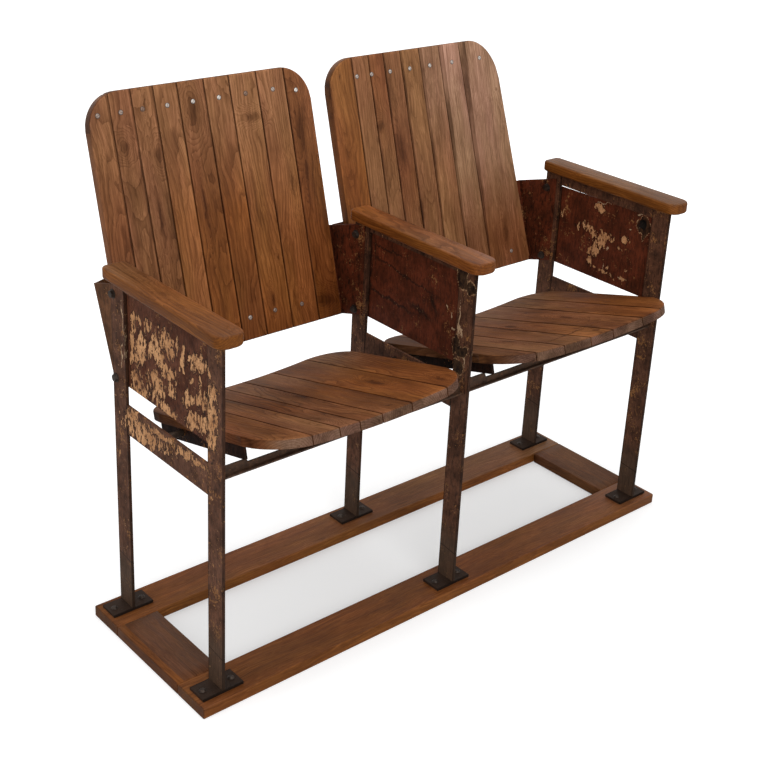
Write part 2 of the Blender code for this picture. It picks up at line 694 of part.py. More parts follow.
def stop_height(number):
    """Z of the seat arm's underside above the middle of the stop."""
    tilt = math.radians(SEAT_ANGLES[number])
    inner = SEAT_ARM_SPREAD / 2 - SEAT_ARM_THICKNESS
    under = PIVOT_RISE - SEAT_THICKNESS - FIT_GAP - seat_dip(number, inner) - SEAT_ARM_HEIGHT
    distance = PIVOT_DEPTH - cross_bar_rear()
    return pivot_height() + under / math.cos(tilt) + distance * math.tan(tilt)


def build_cross_bar(row, number):
    """Angle iron from front leg to front leg, with a stop under each arm of the seat."""
    left_frame, right_frame = frame_places()[number:number + 2]
    start = left_frame + FIT_GAP
    end = right_frame - LEG_THICKNESS - FIT_GAP
    rear = cross_bar_rear()
    front = rear - CROSS_BAR_WIDTH
    web = rear - CROSS_BAR_THICKNESS
    bottom = pivot_height() + CROSS_BAR_RISE
    top = bottom + CROSS_BAR_HEIGHT
    floor = bottom + CROSS_BAR_THICKNESS
    section = [
        (front, bottom), (rear, bottom), (rear, top),
        (web, top), (web, floor), (front, floor),
    ]
    name = f"seat_{number + 1}_cross_bar"
    bar = plate_mesh(name, section, start, end)
    stop_top = stop_height(number) - FIT_GAP
    stops = []
    centre = seat_centre(number) + SEAT_SHIFTS[number]
    for side in (-1, 1):
        near = start if side < 0 else end
        far = near - side * STOP_LENGTH
        reach = centre + side * (SEAT_ARM_SPREAD / 2 - SEAT_ARM_THICKNESS)
        far = min(far, reach - STOP_CHAMFER) if side > 0 else max(far, reach + STOP_CHAMFER)
        outline = [
            (near, top - WELD_DEPTH), (far, top - WELD_DEPTH),
            (far + side * STOP_CHAMFER, stop_top), (near, stop_top),
        ]
        stops.append(skin_mesh("stop", [[(x, y, z) for x, z in outline] for y in (web, rear)]))
    place(name, combined(name, bar, stops, "UNION"), "dark_steel", row)


def build_chair():
    """The whole chair, its base centred under its outline."""
    row = empty_at("row", (0, -row_centre(), 0))
    build_base(row)
    build_side_frames(row)
    build_back_brackets(row)
    for number in range(SEAT_COUNT):
        build_backrest(row, number)
        build_seat(row, number)
        build_pivot_studs(row, number)
        build_cross_bar(row, number)


clear_scene()
build_chair()
bpy.context.view_layer.update()
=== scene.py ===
"""Looks of a two-seat cinema chair: oiled teak slats on painted, rusting steel standards.

Metres throughout, unless a comment says otherwise. X runs along the row, the sitter faces -Y and Z is up.
"""

import math
import random
from functools import partial

import bmesh
import bpy
import numpy as np
from mathutils import Matrix, Vector


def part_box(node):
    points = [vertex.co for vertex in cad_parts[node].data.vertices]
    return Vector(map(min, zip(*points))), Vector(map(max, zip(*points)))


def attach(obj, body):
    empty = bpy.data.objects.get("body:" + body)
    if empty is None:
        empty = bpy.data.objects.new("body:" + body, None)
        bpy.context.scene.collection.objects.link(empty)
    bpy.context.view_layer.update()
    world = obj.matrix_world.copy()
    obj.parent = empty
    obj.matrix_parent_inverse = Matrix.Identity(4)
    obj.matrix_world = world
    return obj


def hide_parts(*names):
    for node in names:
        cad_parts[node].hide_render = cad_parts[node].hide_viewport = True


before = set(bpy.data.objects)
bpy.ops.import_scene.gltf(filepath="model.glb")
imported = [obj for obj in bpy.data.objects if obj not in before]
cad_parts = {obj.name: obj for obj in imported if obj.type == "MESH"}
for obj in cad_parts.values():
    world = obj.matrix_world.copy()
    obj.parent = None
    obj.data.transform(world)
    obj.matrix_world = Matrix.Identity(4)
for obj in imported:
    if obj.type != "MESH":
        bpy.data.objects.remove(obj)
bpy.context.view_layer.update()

# The row: where its pieces stand, as the frame has them
ROW_SHIFT = -0.04005
STANDARDS = (-0.508, 0.0, 0.508)
LEG_THICKNESS = 0.005
LEG_WIDTH = 0.040
LEG_REACH = 0.139
LEG_DEPTHS = (ROW_SHIFT - LEG_REACH, ROW_SHIFT + LEG_REACH)
PIVOT = Vector((0.0, 0.030 + ROW_SHIFT, 0.399))
# Half the size of the opening between the base planks
OPENING = (0.50, 0.125)
# The sheet panels: their top edges, and the slit that closes over a short taper
PANEL_TOP = 0.6222
PANEL_LAP_TOP = 0.6305
SLIT_TOP = 0.6240
SLIT_END = -0.014
SLIT_TAPER = 0.010
RUST_HOLE = Vector((0.5103, -0.1351, 0.6037))
# Rings of the crater behind the hole: share of its half sizes, and depth
CRATER_RINGS = ((1.0, 0.0), (0.86, 0.0042), (0.55, 0.0066), (0.22, 0.0074))
CRATER_HALVES = (0.0150, 0.0165)
CRATER_SIDES = 20
CRATER_WALL = 0.0012
# The weld above each foot: its height midway between the legs and its rise towards the rear
WELD_HEIGHT = 0.1065
WELD_SLOPE = 0.126
REAR_SEAM = ROW_SHIFT + LEG_REACH - LEG_WIDTH / 2
FORE_SEAM = ROW_SHIFT - LEG_REACH + LEG_WIDTH / 2

# Backrests
BACK_TILT = math.radians(16.0)
BACK_FOOT = Vector((0.0, 0.167 + ROW_SHIFT, 0.452))
BACK_LENGTH = 0.467
BACK_THICKNESS = 0.018
BACK_LOW_RADIUS = 0.008
BACK_EASE = 0.003
SLAT_GAP = 0.002
BACKS = (
    {"centre": -0.2495, "width": 0.454, "lean": 0.004, "inner": 0.227, "tops": (0.062, 0.062)},
    {"centre": 0.254, "width": 0.463, "lean": 0.034, "inner": -0.2315, "tops": (0.062, 0.082)},
)
# Widths of the slats, in millimetres
BACK_SHARES = (
    (43, 43, 44, 47, 54, 52, 58, 60, 53),
    (60, 41, 38, 44, 51, 56, 60, 112),
)
# Teak, in named colours that began as samples of the photograph and were then scaled to match it
TEAK = {
    "heart": "#633514", "smoked": "#5A3822", "russet": "#6E401F", "umber": "#6C4529",
    # the paler, greyer dust tone is partly painted sheen, where the slats catch the light
    "amber": "#7A4721", "chestnut": "#77492B", "dusty": "#724C31", "honey": "#82512C", "nut": "#7B5134",
    "straw": "#875C3C", "weathered": "#8D674D", "bleached": "#9E775F", "end_grain": "#5F4435",
    "lit_rear_end": "#8A5A38", "edge": "#6D401B", "arm_edge": "#6E3E17", "plank_end_and_shade": "#55331B",
}
# Tones of each slat, from its foot to its top. They were first sampled from the photograph in bands
# along each slat and then put into these words, and so were the tones of the seats and planks below.
BACK_TONES = (
    ("umber chestnut nut", "chestnut nut nut", "chestnut nut straw", "honey honey straw",
     "amber russet nut", "russet amber straw", "amber honey straw", "amber honey straw",
     "heart russet chestnut"),
    ("amber amber honey", "nut nut nut", "nut nut chestnut", "nut chestnut nut", "nut nut straw",
     "straw straw weathered", "nut weathered bleached", "chestnut weathered bleached"),
)
# Marks are ovals in millimetres: two places, half length, half width and turn in degrees. Most were picked
# by eye on the photograph, turned into millimetres by a scratch program through the solved camera, and rounded.
# Knots, mineral streaks and worn edges of the backrests, in x and z
BACK_MARKS = (
    (
        (-355, 790, 20, 9, 90), (-415, 810, 15, 10, 90), (-55, 790, 58, 13, 90), (-55, 720, 30, 5, 85),
        (-155, 825, 20, 10, -5), (-365, 875, 17, 3, 80), (-370, 690, 70, 6, 90), (-170, 510, 17, 5, 90),
        (-55, 485, 26, 14, -15), (-145, 580, 6, 4, 80), (-90, 700, 28, 2, 90), (-275, 850, 38, 13, 90),
        (-280, 690, 44, 4, 90),
    ),
    (
        (120, 745, 10, 4, -85), (130, 770, 15, 11, 70), (175, 720, 42, 12, 90), (50, 870, 5, 2, 80),
        (205, 600, 35, 7, 90), (425, 520, 36, 8, 90), (25, 830, 70, 4, 90), (445, 800, 4, 3, 0),
    ),
)
# Knots of the armrests, in x and y
ARM_MARKS = (
    (-495, 45, 17, 9, 90), (-510, -40, 13, 7, 90), (-515, -90, 20, 4, 90), (-500, -208, 7, 1, 20),
    (-500, -221, 6, 2, 5), (-505, -197, 5, 1, 30), (20, 15, 22, 6, 90), (15, -120, 14, 5, 85),
    (10, -190, 9, 1, 15), (515, -10, 26, 5, 90), (510, -120, 14, 6, 90),
)
# A plug, a split and darker patches of the seats, in x and y
SEAT_MARKS = (
    (
        (-220, -239, 4, 4, 0), (-330, -190, 26, 9, 95), (-150, -120, 30, 8, 88), (-90, -215, 20, 7, 80),
        (-262, -60, 22, 8, 92),
    ),
    ((228, -214, 72, 3, 6), (140, -150, 24, 8, 90), (330, -120, 28, 8, 86), (240, -60, 20, 9, 94)),
)
# Where the enamel of the left and right standards is gone, in y and z
LEFT_PATCHES = (
    (40, 540, 30, 14, -70), (60, 585, 10, 6, -70), (65, 540, 36, 5, -85), (40, 590, 8, 6, 30),
    (15, 590, 10, 8, -30), (-40, 580, 20, 15, 25), (0, 565, 20, 8, -60), (-20, 545, 20, 11, 35),
    (-65, 590, 9, 6, -75), (-85, 575, 18, 6, -80), (-125, 580, 19, 12, -15), (0, 510, 18, 8, -30),
    (-50, 530, 15, 10, -25), (55, 485, 13, 11, 0), (40, 465, 28, 12, -15), (-10, 490, 20, 17, 85),
    (-50, 505, 14, 8, -10), (-40, 465, 22, 9, 10), (-110, 545, 6, 4, -50), (-130, 535, 22, 3, -85),
    (-100, 510, 18, 8, -35), (-145, 520, 14, 9, -55), (-165, 540, 14, 8, -80), (-125, 480, 30, 13, -15),
    (-160, 490, 26, 10, -80),
)
LEFT_FRAME_PATCHES = (
    (25, 395, 48, 14, -5), (60, 415, 20, 10, -30), (-25, 415, 33, 5, 0), (-95, 415, 22, 7, -10),
    (-135, 415, 15, 4, -5), (-170, 545, 16, 8, -80), (-170, 500, 33, 12, -85), (-175, 470, 13, 7, -65),
    (-165, 585, 9, 3, 65), (105, 325, 6, 3, -70),
)
LEFT_FRAME_STREAKS = (
    (80, 535, 36, 1, -85), (85, 575, 30, 1, -90), (90, 510, 24, 1, -85), (75, 335, 5, 1, -80),
)
RIGHT_PATCHES = (
    (-5, 555, 18, 8, 20), (-35, 540, 17, 11, -25), (-55, 550, 13, 7, -30), (-20, 515, 15, 10, -50),
    (-15, 490, 9, 6, -80), (-40, 555, 10, 8, 40), (-25, 610, 10, 6, -15), (-30, 600, 6, 4, -25),
    (25, 555, 6, 4, -20), (-95, 560, 10, 6, 10), (70, 570, 7, 2, -85), (-50, 480, 9, 3, -5),
    (-75, 475, 7, 3, 5), (-100, 480, 6, 3, 0), (-60, 490, 3, 3, 0), (-110, 500, 3, 2, 0),
    (-30, 480, 5, 2, 0), (-85, 540, 3, 2, 0), (-110, 560, 3, 2, 0),
)
RIGHT_STREAKS = (
    (-160, 608, 11, 1, 80), (-130, 625, 8, 2, -15), (-130, 602, 12, 1, -85), (-50, 490, 6, 1, -70),
    (-95, 480, 8, 1, 0), (-105, 585, 4, 1, -15), (-55, 530, 5, 3, -45), (-30, 618, 22, 1, -10),
)
RIGHT_CURLS = ((-139, 602, 17, 20, 0), (-139, 583, 5, 12, 0))
# Blisters, scars and dents of the middle standard, in y and z
MIDDLE_CURLS = (
    (-166, 622, 15, 24, 0), (-188, 606, 12, 13, 0), (-158, 492, 9, 22, 8), (-178, 486, 19, 11, -20),
    (-172, 455, 13, 13, 0),
)
MIDDLE_STREAKS = (
    (-166, 540, 30, 2, 88), (-171, 522, 12, 3, 80), (-186, 609, 6, 1, -15), (-129, 551, 4, 2, 60),
    (-143, 538, 5, 2, 75), (-150, 516, 3, 2, 40), (-185, 470, 10, 2, 70),
)
MIDDLE_CREASES = (
    (-10, 572, 88, 2, 8), (66, 590, 30, 2, 90), (76, 540, 60, 2, 90), (20, 512, 60, 3, 4),
    (-60, 520, 26, 6, 12), (30, 606, 44, 2, 3), (-95, 545, 16, 4, 70),
)

# Seats
SEATS = (
    {"centre": -0.258, "width": 0.422, "rear": 0.128, "depth": 0.392, "tilt": 14.6},
    {"centre": 0.254, "width": 0.458, "rear": 0.108, "depth": 0.382, "tilt": 16.2},
)
SEAT_RISE = 0.0255
SEAT_THICKNESS = 0.016
SEAT_DISH = 0.012
SEAT_RADII = (0.080, 0.070)
SEAT_EASE = 0.0075
# A seat's outer sawn faces have none of the joints' grime and painted shade: how near its sides
# a face counts as outer, and the distance from a joint that it is given
SAWN_REACH = 0.0025
CLEAN_RIM = 0.003
SEAT_SHARES = (
    (76, 52, 40, 45, 62, 78, 68),
    (62, 69, 69, 60, 83, 58, 59),
)
# Tones of each slat, from its front to its rear
SEAT_TONES = (
    ("chestnut chestnut umber", "nut chestnut dusty", "nut russet umber", "chestnut umber dusty",
     "chestnut russet dusty", "amber amber umber", "amber amber dusty"),
    ("umber umber smoked", "nut nut nut", "nut chestnut dusty", "honey chestnut dusty",
     "chestnut chestnut dusty", "amber chestnut dusty", "amber amber dusty"),
)
# Each solid board: node, slot, turn of the grain, log, tones from end to end, width of its paler outer edge
PLANKS = (
    ("front_base_plank", "teak_base", 90, 3, "russet russet russet chestnut", 0.0),
    ("rear_base_plank", "teak_base", 90, 8, "russet chestnut umber dusty", 0.0),
    ("left_base_plank", "teak_base_dark", 0, 5, "smoked smoked", 0.013),
    ("right_base_plank", "teak_base_dark", 0, 6, "smoked smoked", 0.0),
    ("left_armrest", "teak_arm", 0, 1, "russet amber russet umber", 0.0),
    ("middle_armrest", "teak_arm", 0, 2, "chestnut chestnut russet amber", 0.0),
    ("right_armrest", "teak_arm", 0, 4, "umber dusty umber", 0.0),
)

# A board is cut across into parts, so that its tones can change along it; a paler edge fades over 4 mm
PLANK_PARTS = 8
PALE_FADE = 0.004

# Heads: their sides, radius, the crown's share of it, height, and the washer's radius and height
HEAD_SIZES = ("Sides", "Radius", "Rim Share", "Height", "Washer Radius", "Washer Height")
SCREW = (14, 0.0036, 0.72, 0.0006, 0.0044, 0.0002)
HEXAGON = (6, 0.0068, 0.92, 0.0045, 0.0082, 0.0012)
DOME = (14, 0.0058, 0.55, 0.0028, 0.0062, 0.0006)
# The backrests' screws in millimetres, across the row and up the slope, rounded from places measured on the
# photograph, and how rusted each is, from 0 to 1
SCREW_PLACES = (
    (-455, 430.5), (-412, 430.5), (-371, 430.5), (-323, 430.5), (-272, 430.5), (-219, 430.5), (-163, 430.5),
    (-104, 430.5), (-54, 423), (90, 430), (126, 430), (172, 430), (222, 430), (274, 430), (333, 430),
    (409, 430), (-225, 40), (-170, 41), (-110, 39), (434, 29),
)
SCREW_AGES = (0.8, 0.8, 1, 0.5, 0.3, 0.15, 1, 0.6, 0, 0.5, 0.6, 0.5, 0.4, 0.3, 0.5, 0.3, 0.5, 0.9, 0.9, 0.7)
# Each rear leg's two bolts, in y and z; a bracket's sheet lies under their heads
BOLT_PLACES = ((0.152 + ROW_SHIFT, 0.613), (0.149 + ROW_SHIFT, 0.465))
BRACKET_SHEET = 0.0033
FOOT_SCREW_PITCH = 0.0275
FOOT_PLATE_TOP = 0.0264

# The camera: its place, its turn in degrees, its lens in millimetres and how far its picture is shifted down
CAMERA_PLACE = (-1.5136, -1.6329 + ROW_SHIFT, 1.4659)
CAMERA_TURN = (67.179, -2.654, -40.417)
CAMERA_LENS = 63.6
CAMERA_SHIFT = 0.1094
# Lamps: name, place, aim, width of the disk and power in watts
LAMPS = (
    ("key_lamp", (-1.3, -3.2, 2.2), (0.0, 0.0, 0.55), 2.2, 60.0),
    ("top_lamp", (0.2, 0.2, 3.2), (0.0, 0.0, 0.4), 2.6, 26.0),
    ("side_lamp", (-3.2, 0.2, 1.5), (0.0, 0.0, 0.5), 1.8, 13.0),
)
WHITE = (1.0, 1.0, 1.0, 1.0)
FLOOR_RADIUS = 9.0
FLOOR_DROP = 0.0004


# Camera, lamps and floor

def new_object(name, data):
    """An object in the scene."""
    item = bpy.data.objects.new(name, data)
    bpy.context.scene.collection.objects.link(item)
    return item


def set_camera():
    """A 64 mm lens at standing height, to the left of the row."""
    lens = bpy.data.cameras.new("camera")
    lens.sensor_width = 36.0
    lens.lens = CAMERA_LENS
    lens.shift_y = -CAMERA_SHIFT
    lens.clip_start, lens.clip_end = 0.05, 60.0
    camera = new_object("camera", lens)
    camera.location = CAMERA_PLACE
    camera.rotation_euler = [math.radians(turn) for turn in CAMERA_TURN]
    bpy.context.scene.camera = camera
    bpy.context.scene.view_settings.view_transform = "Standard"


def linear(code):
    """A colour written as sRGB hex, as the linear values that the shaders take."""
    values = [int(code[k:k + 2], 16) / 255 for k in (1, 3, 5)]
    return (*[v / 12.92 if v <= 0.04045 else ((v + 0.055) / 1.055) ** 2.4 for v in values], 1.0)


def add_node(tree, words, *values, named=None, **settings):
    """One node with its settings and links.

    The words are its kind and, for some kinds, its operation or data type. A value may be another node,
    one of its outputs, or a colour in sRGB hex.
    """
    kind, *choice = words.split()
    node = tree.nodes.new(kind if "Node" in kind else "ShaderNode" + kind)
    if choice:
        setattr(node, "data_type" if kind == "Mix" else "operation", choice[0])
    for name, value in settings.items():
        setattr(node, name, value)
    sockets = [socket for socket in node.inputs if socket.enabled]
    named_sockets = [(node.inputs[name], value) for name, value in (named or {}).items()]
    for socket, value in [*zip(sockets, values), *named_sockets]:
        if value is None:
            continue
        if isinstance(value, bpy.types.Node):
            value = next(output for output in value.outputs if output.enabled)
        if isinstance(value, bpy.types.NodeSocket):
            tree.links.new(value, socket)
        elif isinstance(value, str) and value.startswith("#"):
            socket.default_value = linear(value)
        else:
            socket.default_value = value
    return node


def new_finish(name):
    """An empty material, and the function that adds nodes to it."""
    made = bpy.data.materials.new(name)
    made.use_nodes = True
    made.node_tree.nodes.clear()
    return made, partial(add_node, made.node_tree)


def set_room():
    """White studio: even light from the room, three soft lamps and a pale floor."""
    world = bpy.data.worlds.new("studio")
    bpy.context.scene.world = world
    world.use_nodes = True
    world.node_tree.nodes.clear()
    add = partial(add_node, world.node_tree)
    path = add("LightPath").outputs
    seen = add("Math MAXIMUM", path["Is Camera Ray"], path["Is Glossy Ray"])
    seen = add("Math MAXIMUM", seen, path["Is Transmission Ray"])
    both = add("MixShader", seen, add("Background", WHITE, 0.60), add("Background", WHITE, 1.0))
    add("OutputWorld", both)
    for name, place, aim, size, power in LAMPS:
        lamp = bpy.data.lights.new(name, "AREA")
        lamp.shape = "DISK"
        lamp.size = size
        lamp.energy = power
        item = new_object(name, lamp)
        item.location = place
        item.rotation_euler = (Vector(aim) - Vector(place)).to_track_quat("-Z", "Y").to_euler()
    shape = bmesh.new()
    bmesh.ops.create_circle(shape, cap_ends=True, segments=96, radius=FLOOR_RADIUS)
    mesh = bpy.data.meshes.new("floor")
    shape.to_mesh(mesh)
    shape.free()
    mesh.transform(Matrix.Translation((0, 0, -FLOOR_DROP)))
    new_object("floor", mesh)
    paint, add = new_finish("studio_floor")
    matt = add("BsdfDiffuse", (0.66, 0.66, 0.66, 1.0))
    # dimmer within the base's opening, a painted shade on the floor under the chair; brighter further out,
    # which evens out the fall of the lamps' light
    across, along, _ = add("SeparateXYZ", add("TexCoord").outputs["Object"]).outputs
    across = add("Math ADD", add("Math ABSOLUTE", across), -OPENING[0])
    along = add("Math ADD", add("Math ABSOLUTE", add("Math SUBTRACT", along, ROW_SHIFT)), -OPENING[1])
    away = add("Math MAXIMUM", across, along)
    glow_with_painted_shade = add("MapRange", away, 0.0, 0.03, 0.34, 0.52)
    glow_with_painted_shade = add("Math ADD", glow_with_painted_shade, add("MapRange", away, 0.03, 1.4, 0.0, 0.4))
    glow = add("Emission", WHITE, add("Math MULTIPLY", add("LightPath").outputs["Is Camera Ray"], glow_with_painted_shade))
    add("OutputMaterial", add("AddShader", matt, glow))
    mesh.materials.append(paint)


# Finishes

def shaken(add, place, noise, reach):
    """A place moved about by a noise's colours, up to half the reach each way."""
    offset = add("VectorMath SUBTRACT", noise.outputs["Color"], (0.5, 0.5, 0.5))
    return add("VectorMath ADD", place, add("VectorMath SCALE", offset, reach))


def blobs(add, place, patches, plane="YZ"):
    """Least distance, in patch radii, from a place to a list of oval patches given in millimetres."""
    first, second, through = {"YZ": (1, 2, 0), "XZ": (0, 2, 1), "XY": (0, 1, 2)}[plane]
    nearest = None
    for across, up, long_half, short_half, turn in patches:
        centre, size, spin = [0.0, 0.0, 0.0], [1e4, 1e4, 1e4], [0.0, 0.0, 0.0]
        centre[first], centre[second] = across / 1000, up / 1000
        size[first], size[second] = long_half / 1000, short_half / 1000
        spin[through] = math.radians(-turn if plane == "XZ" else turn)
        reach = add("VectorMath LENGTH", add("Mapping", place, centre, spin, size, vector_type="TEXTURE"))
        nearest = add("Math MINIMUM", nearest, reach) if nearest else reach
    return nearest


def oiled_teak(name, gloss=0.42, depth=1.0, marks=(), plane="XZ", knot=0.45, wear=0.27, grime_and_shade=(0.0018, 0.36)):
    """Reclaimed teak, planed, sanded and oiled by hand.

    The eye gets warm brown slats of differing tone, long growth-ring lines, fine dark fibres and a satin
    sheen. The last argument is how wide the grime and painted shade along the joints are, and how much light
    they leave.
    """
    made, add = new_finish(name)
    grain = add("Attribute", attribute_name="grain").outputs["Vector"]
    tone = add("Attribute", attribute_name="tone").outputs["Color"]
    rim = add("Attribute", attribute_name="rim").outputs["Fac"]
    # growth rings bend slowly along the board: features 140 mm across and 300 mm long
    wander = add("TexNoise", add("Mapping", grain, None, None, (7.0, 3.3, 7.0)), 1.0, 3.0, 0.45)
    bent = shaken(add, grain, wander, 0.055)
    # and ripple a little: features 25 mm across and 60 mm long
    ripple = add("TexNoise", add("Mapping", grain, None, None, (40.0, 16.0, 40.0)), 1.0, 3.0, 0.5)
    bent = shaken(add, bent, ripple, 0.007)
    radius = add("VectorMath LENGTH", add("VectorMath MULTIPLY", bent, (1.0, 0.0, 1.0)))
    # one growth ring every 4 mm
    turns = add("Math MULTIPLY", radius, 1 / 0.004)
    if marks:
        # the rings swirl round the knots
        place = add("TexCoord").outputs["Object"]
        near = blobs(add, shaken(add, place, add("TexNoise", place, 60.0, 3.0), 0.012), marks, plane)
        swirl = add("MapRange", near, 0.3, 2.6, 6.0, 0.0, interpolation_type="SMOOTHSTEP")
        turns = add("Math ADD", turns, swirl)
    ring = add("MapRange", add("Math FRACT", turns), 0.0, 1.0, 1.0, 0.0)
    ring = add("Math POWER", ring, 2.6)
    # fibres 1.2 mm wide and 70 mm long, the finest that shows; streaks and clouds are wider
    fibre = add("TexNoise", add("Mapping", bent, None, None, (820.0, 14.0, 820.0)), 1.0, 3.0, 0.6)
    streak = add("TexNoise", add("Mapping", bent, None, None, (190.0, 5.0, 190.0)), 1.0, 4.0, 0.55)
    cloud = add("TexNoise", add("Mapping", grain, None, None, (22.0, 7.0, 22.0)), 1.0, 4.0, 0.6)
    # rings darken, the noises darken and lift
    shade = add("Math MULTIPLY_ADD", ring, -0.52 * depth, 1.14)
    for noise, low, high in ((fibre, 0.66, 1.32), (streak, 0.72, 1.26), (cloud, 1.0 - wear, 1.0 + wear)):
        shade = add("Math MULTIPLY", add("MapRange", noise, 0.3, 0.7, low, high), shade)
    # dark mineral streaks, 4 mm wide and up to 200 mm long
    vein = add("TexNoise", add("Mapping", bent, None, None, (85.0, 2.6, 85.0)), 1.0, 3.0, 0.6)
    shade = add("Math MULTIPLY", shade, add("MapRange", vein, 0.58, 0.70, 1.0, 1.0 - 0.36 * depth))
    # grime and painted shade along the joints, where the gaps between the slats fall dark
    shade = add("Math MULTIPLY", shade, add("MapRange", rim, 0.0003, grime_and_shade[0], grime_and_shade[1], 1.0))
    # here and there the edge beside it is paler, 2 mm wide: rubbed wear, and a painted highlight along the
    # eased edge
    rubbed_and_highlit = add("MapRange", rim, grime_and_shade[0] + 0.0004, grime_and_shade[0] + 0.0027, 1.0, 0.0)
    rubbed_and_highlit = add("Math MULTIPLY", rubbed_and_highlit, add("MapRange", cloud, 0.42, 0.58))
    shade = add("Math MULTIPLY_ADD", rubbed_and_highlit, 0.30, shade)
    if marks:
        shade = add("Math MULTIPLY", shade, add("MapRange", near, 0.35, 1.15, knot, 1.0))
    # yellower and redder stretches, 60 mm across and 250 mm long
    hue = add("TexNoise", add("Mapping", grain, None, None, (16.0, 4.0, 16.0)), 1.0, 2.0, 0.5)
    drift = add("Mix RGBA", add("MapRange", hue, 0.38, 0.62),
                (1.03, 0.98, 1.03, 1.0), (0.99, 1.02, 0.95, 1.0))
    tone = add("Mix RGBA", 1.0, tone, drift, blend_type="MULTIPLY")
    # darker wood is redder, paler wood yellower
    warm = add("CombineXYZ", add("Math POWER", shade, 0.88), shade, add("Math POWER", shade, 1.15))
    colour = add("Mix RGBA", 1.0, tone, warm, blend_type="MULTIPLY")
    rough = add("MapRange", streak, 0.3, 0.7, gloss - 0.06, gloss + 0.12)
    height = add("Math SUBTRACT", fibre, ring)
    relief = add("Bump", named={"Strength": 0.35, "Distance": 0.0004, "Height": height})
    shader = add("BsdfPrincipled", colour, named={
        "Roughness": rough, "IOR": 1.45, "Normal": relief, "Specular IOR Level": 0.12})
    add("OutputMaterial", shader)
    return made


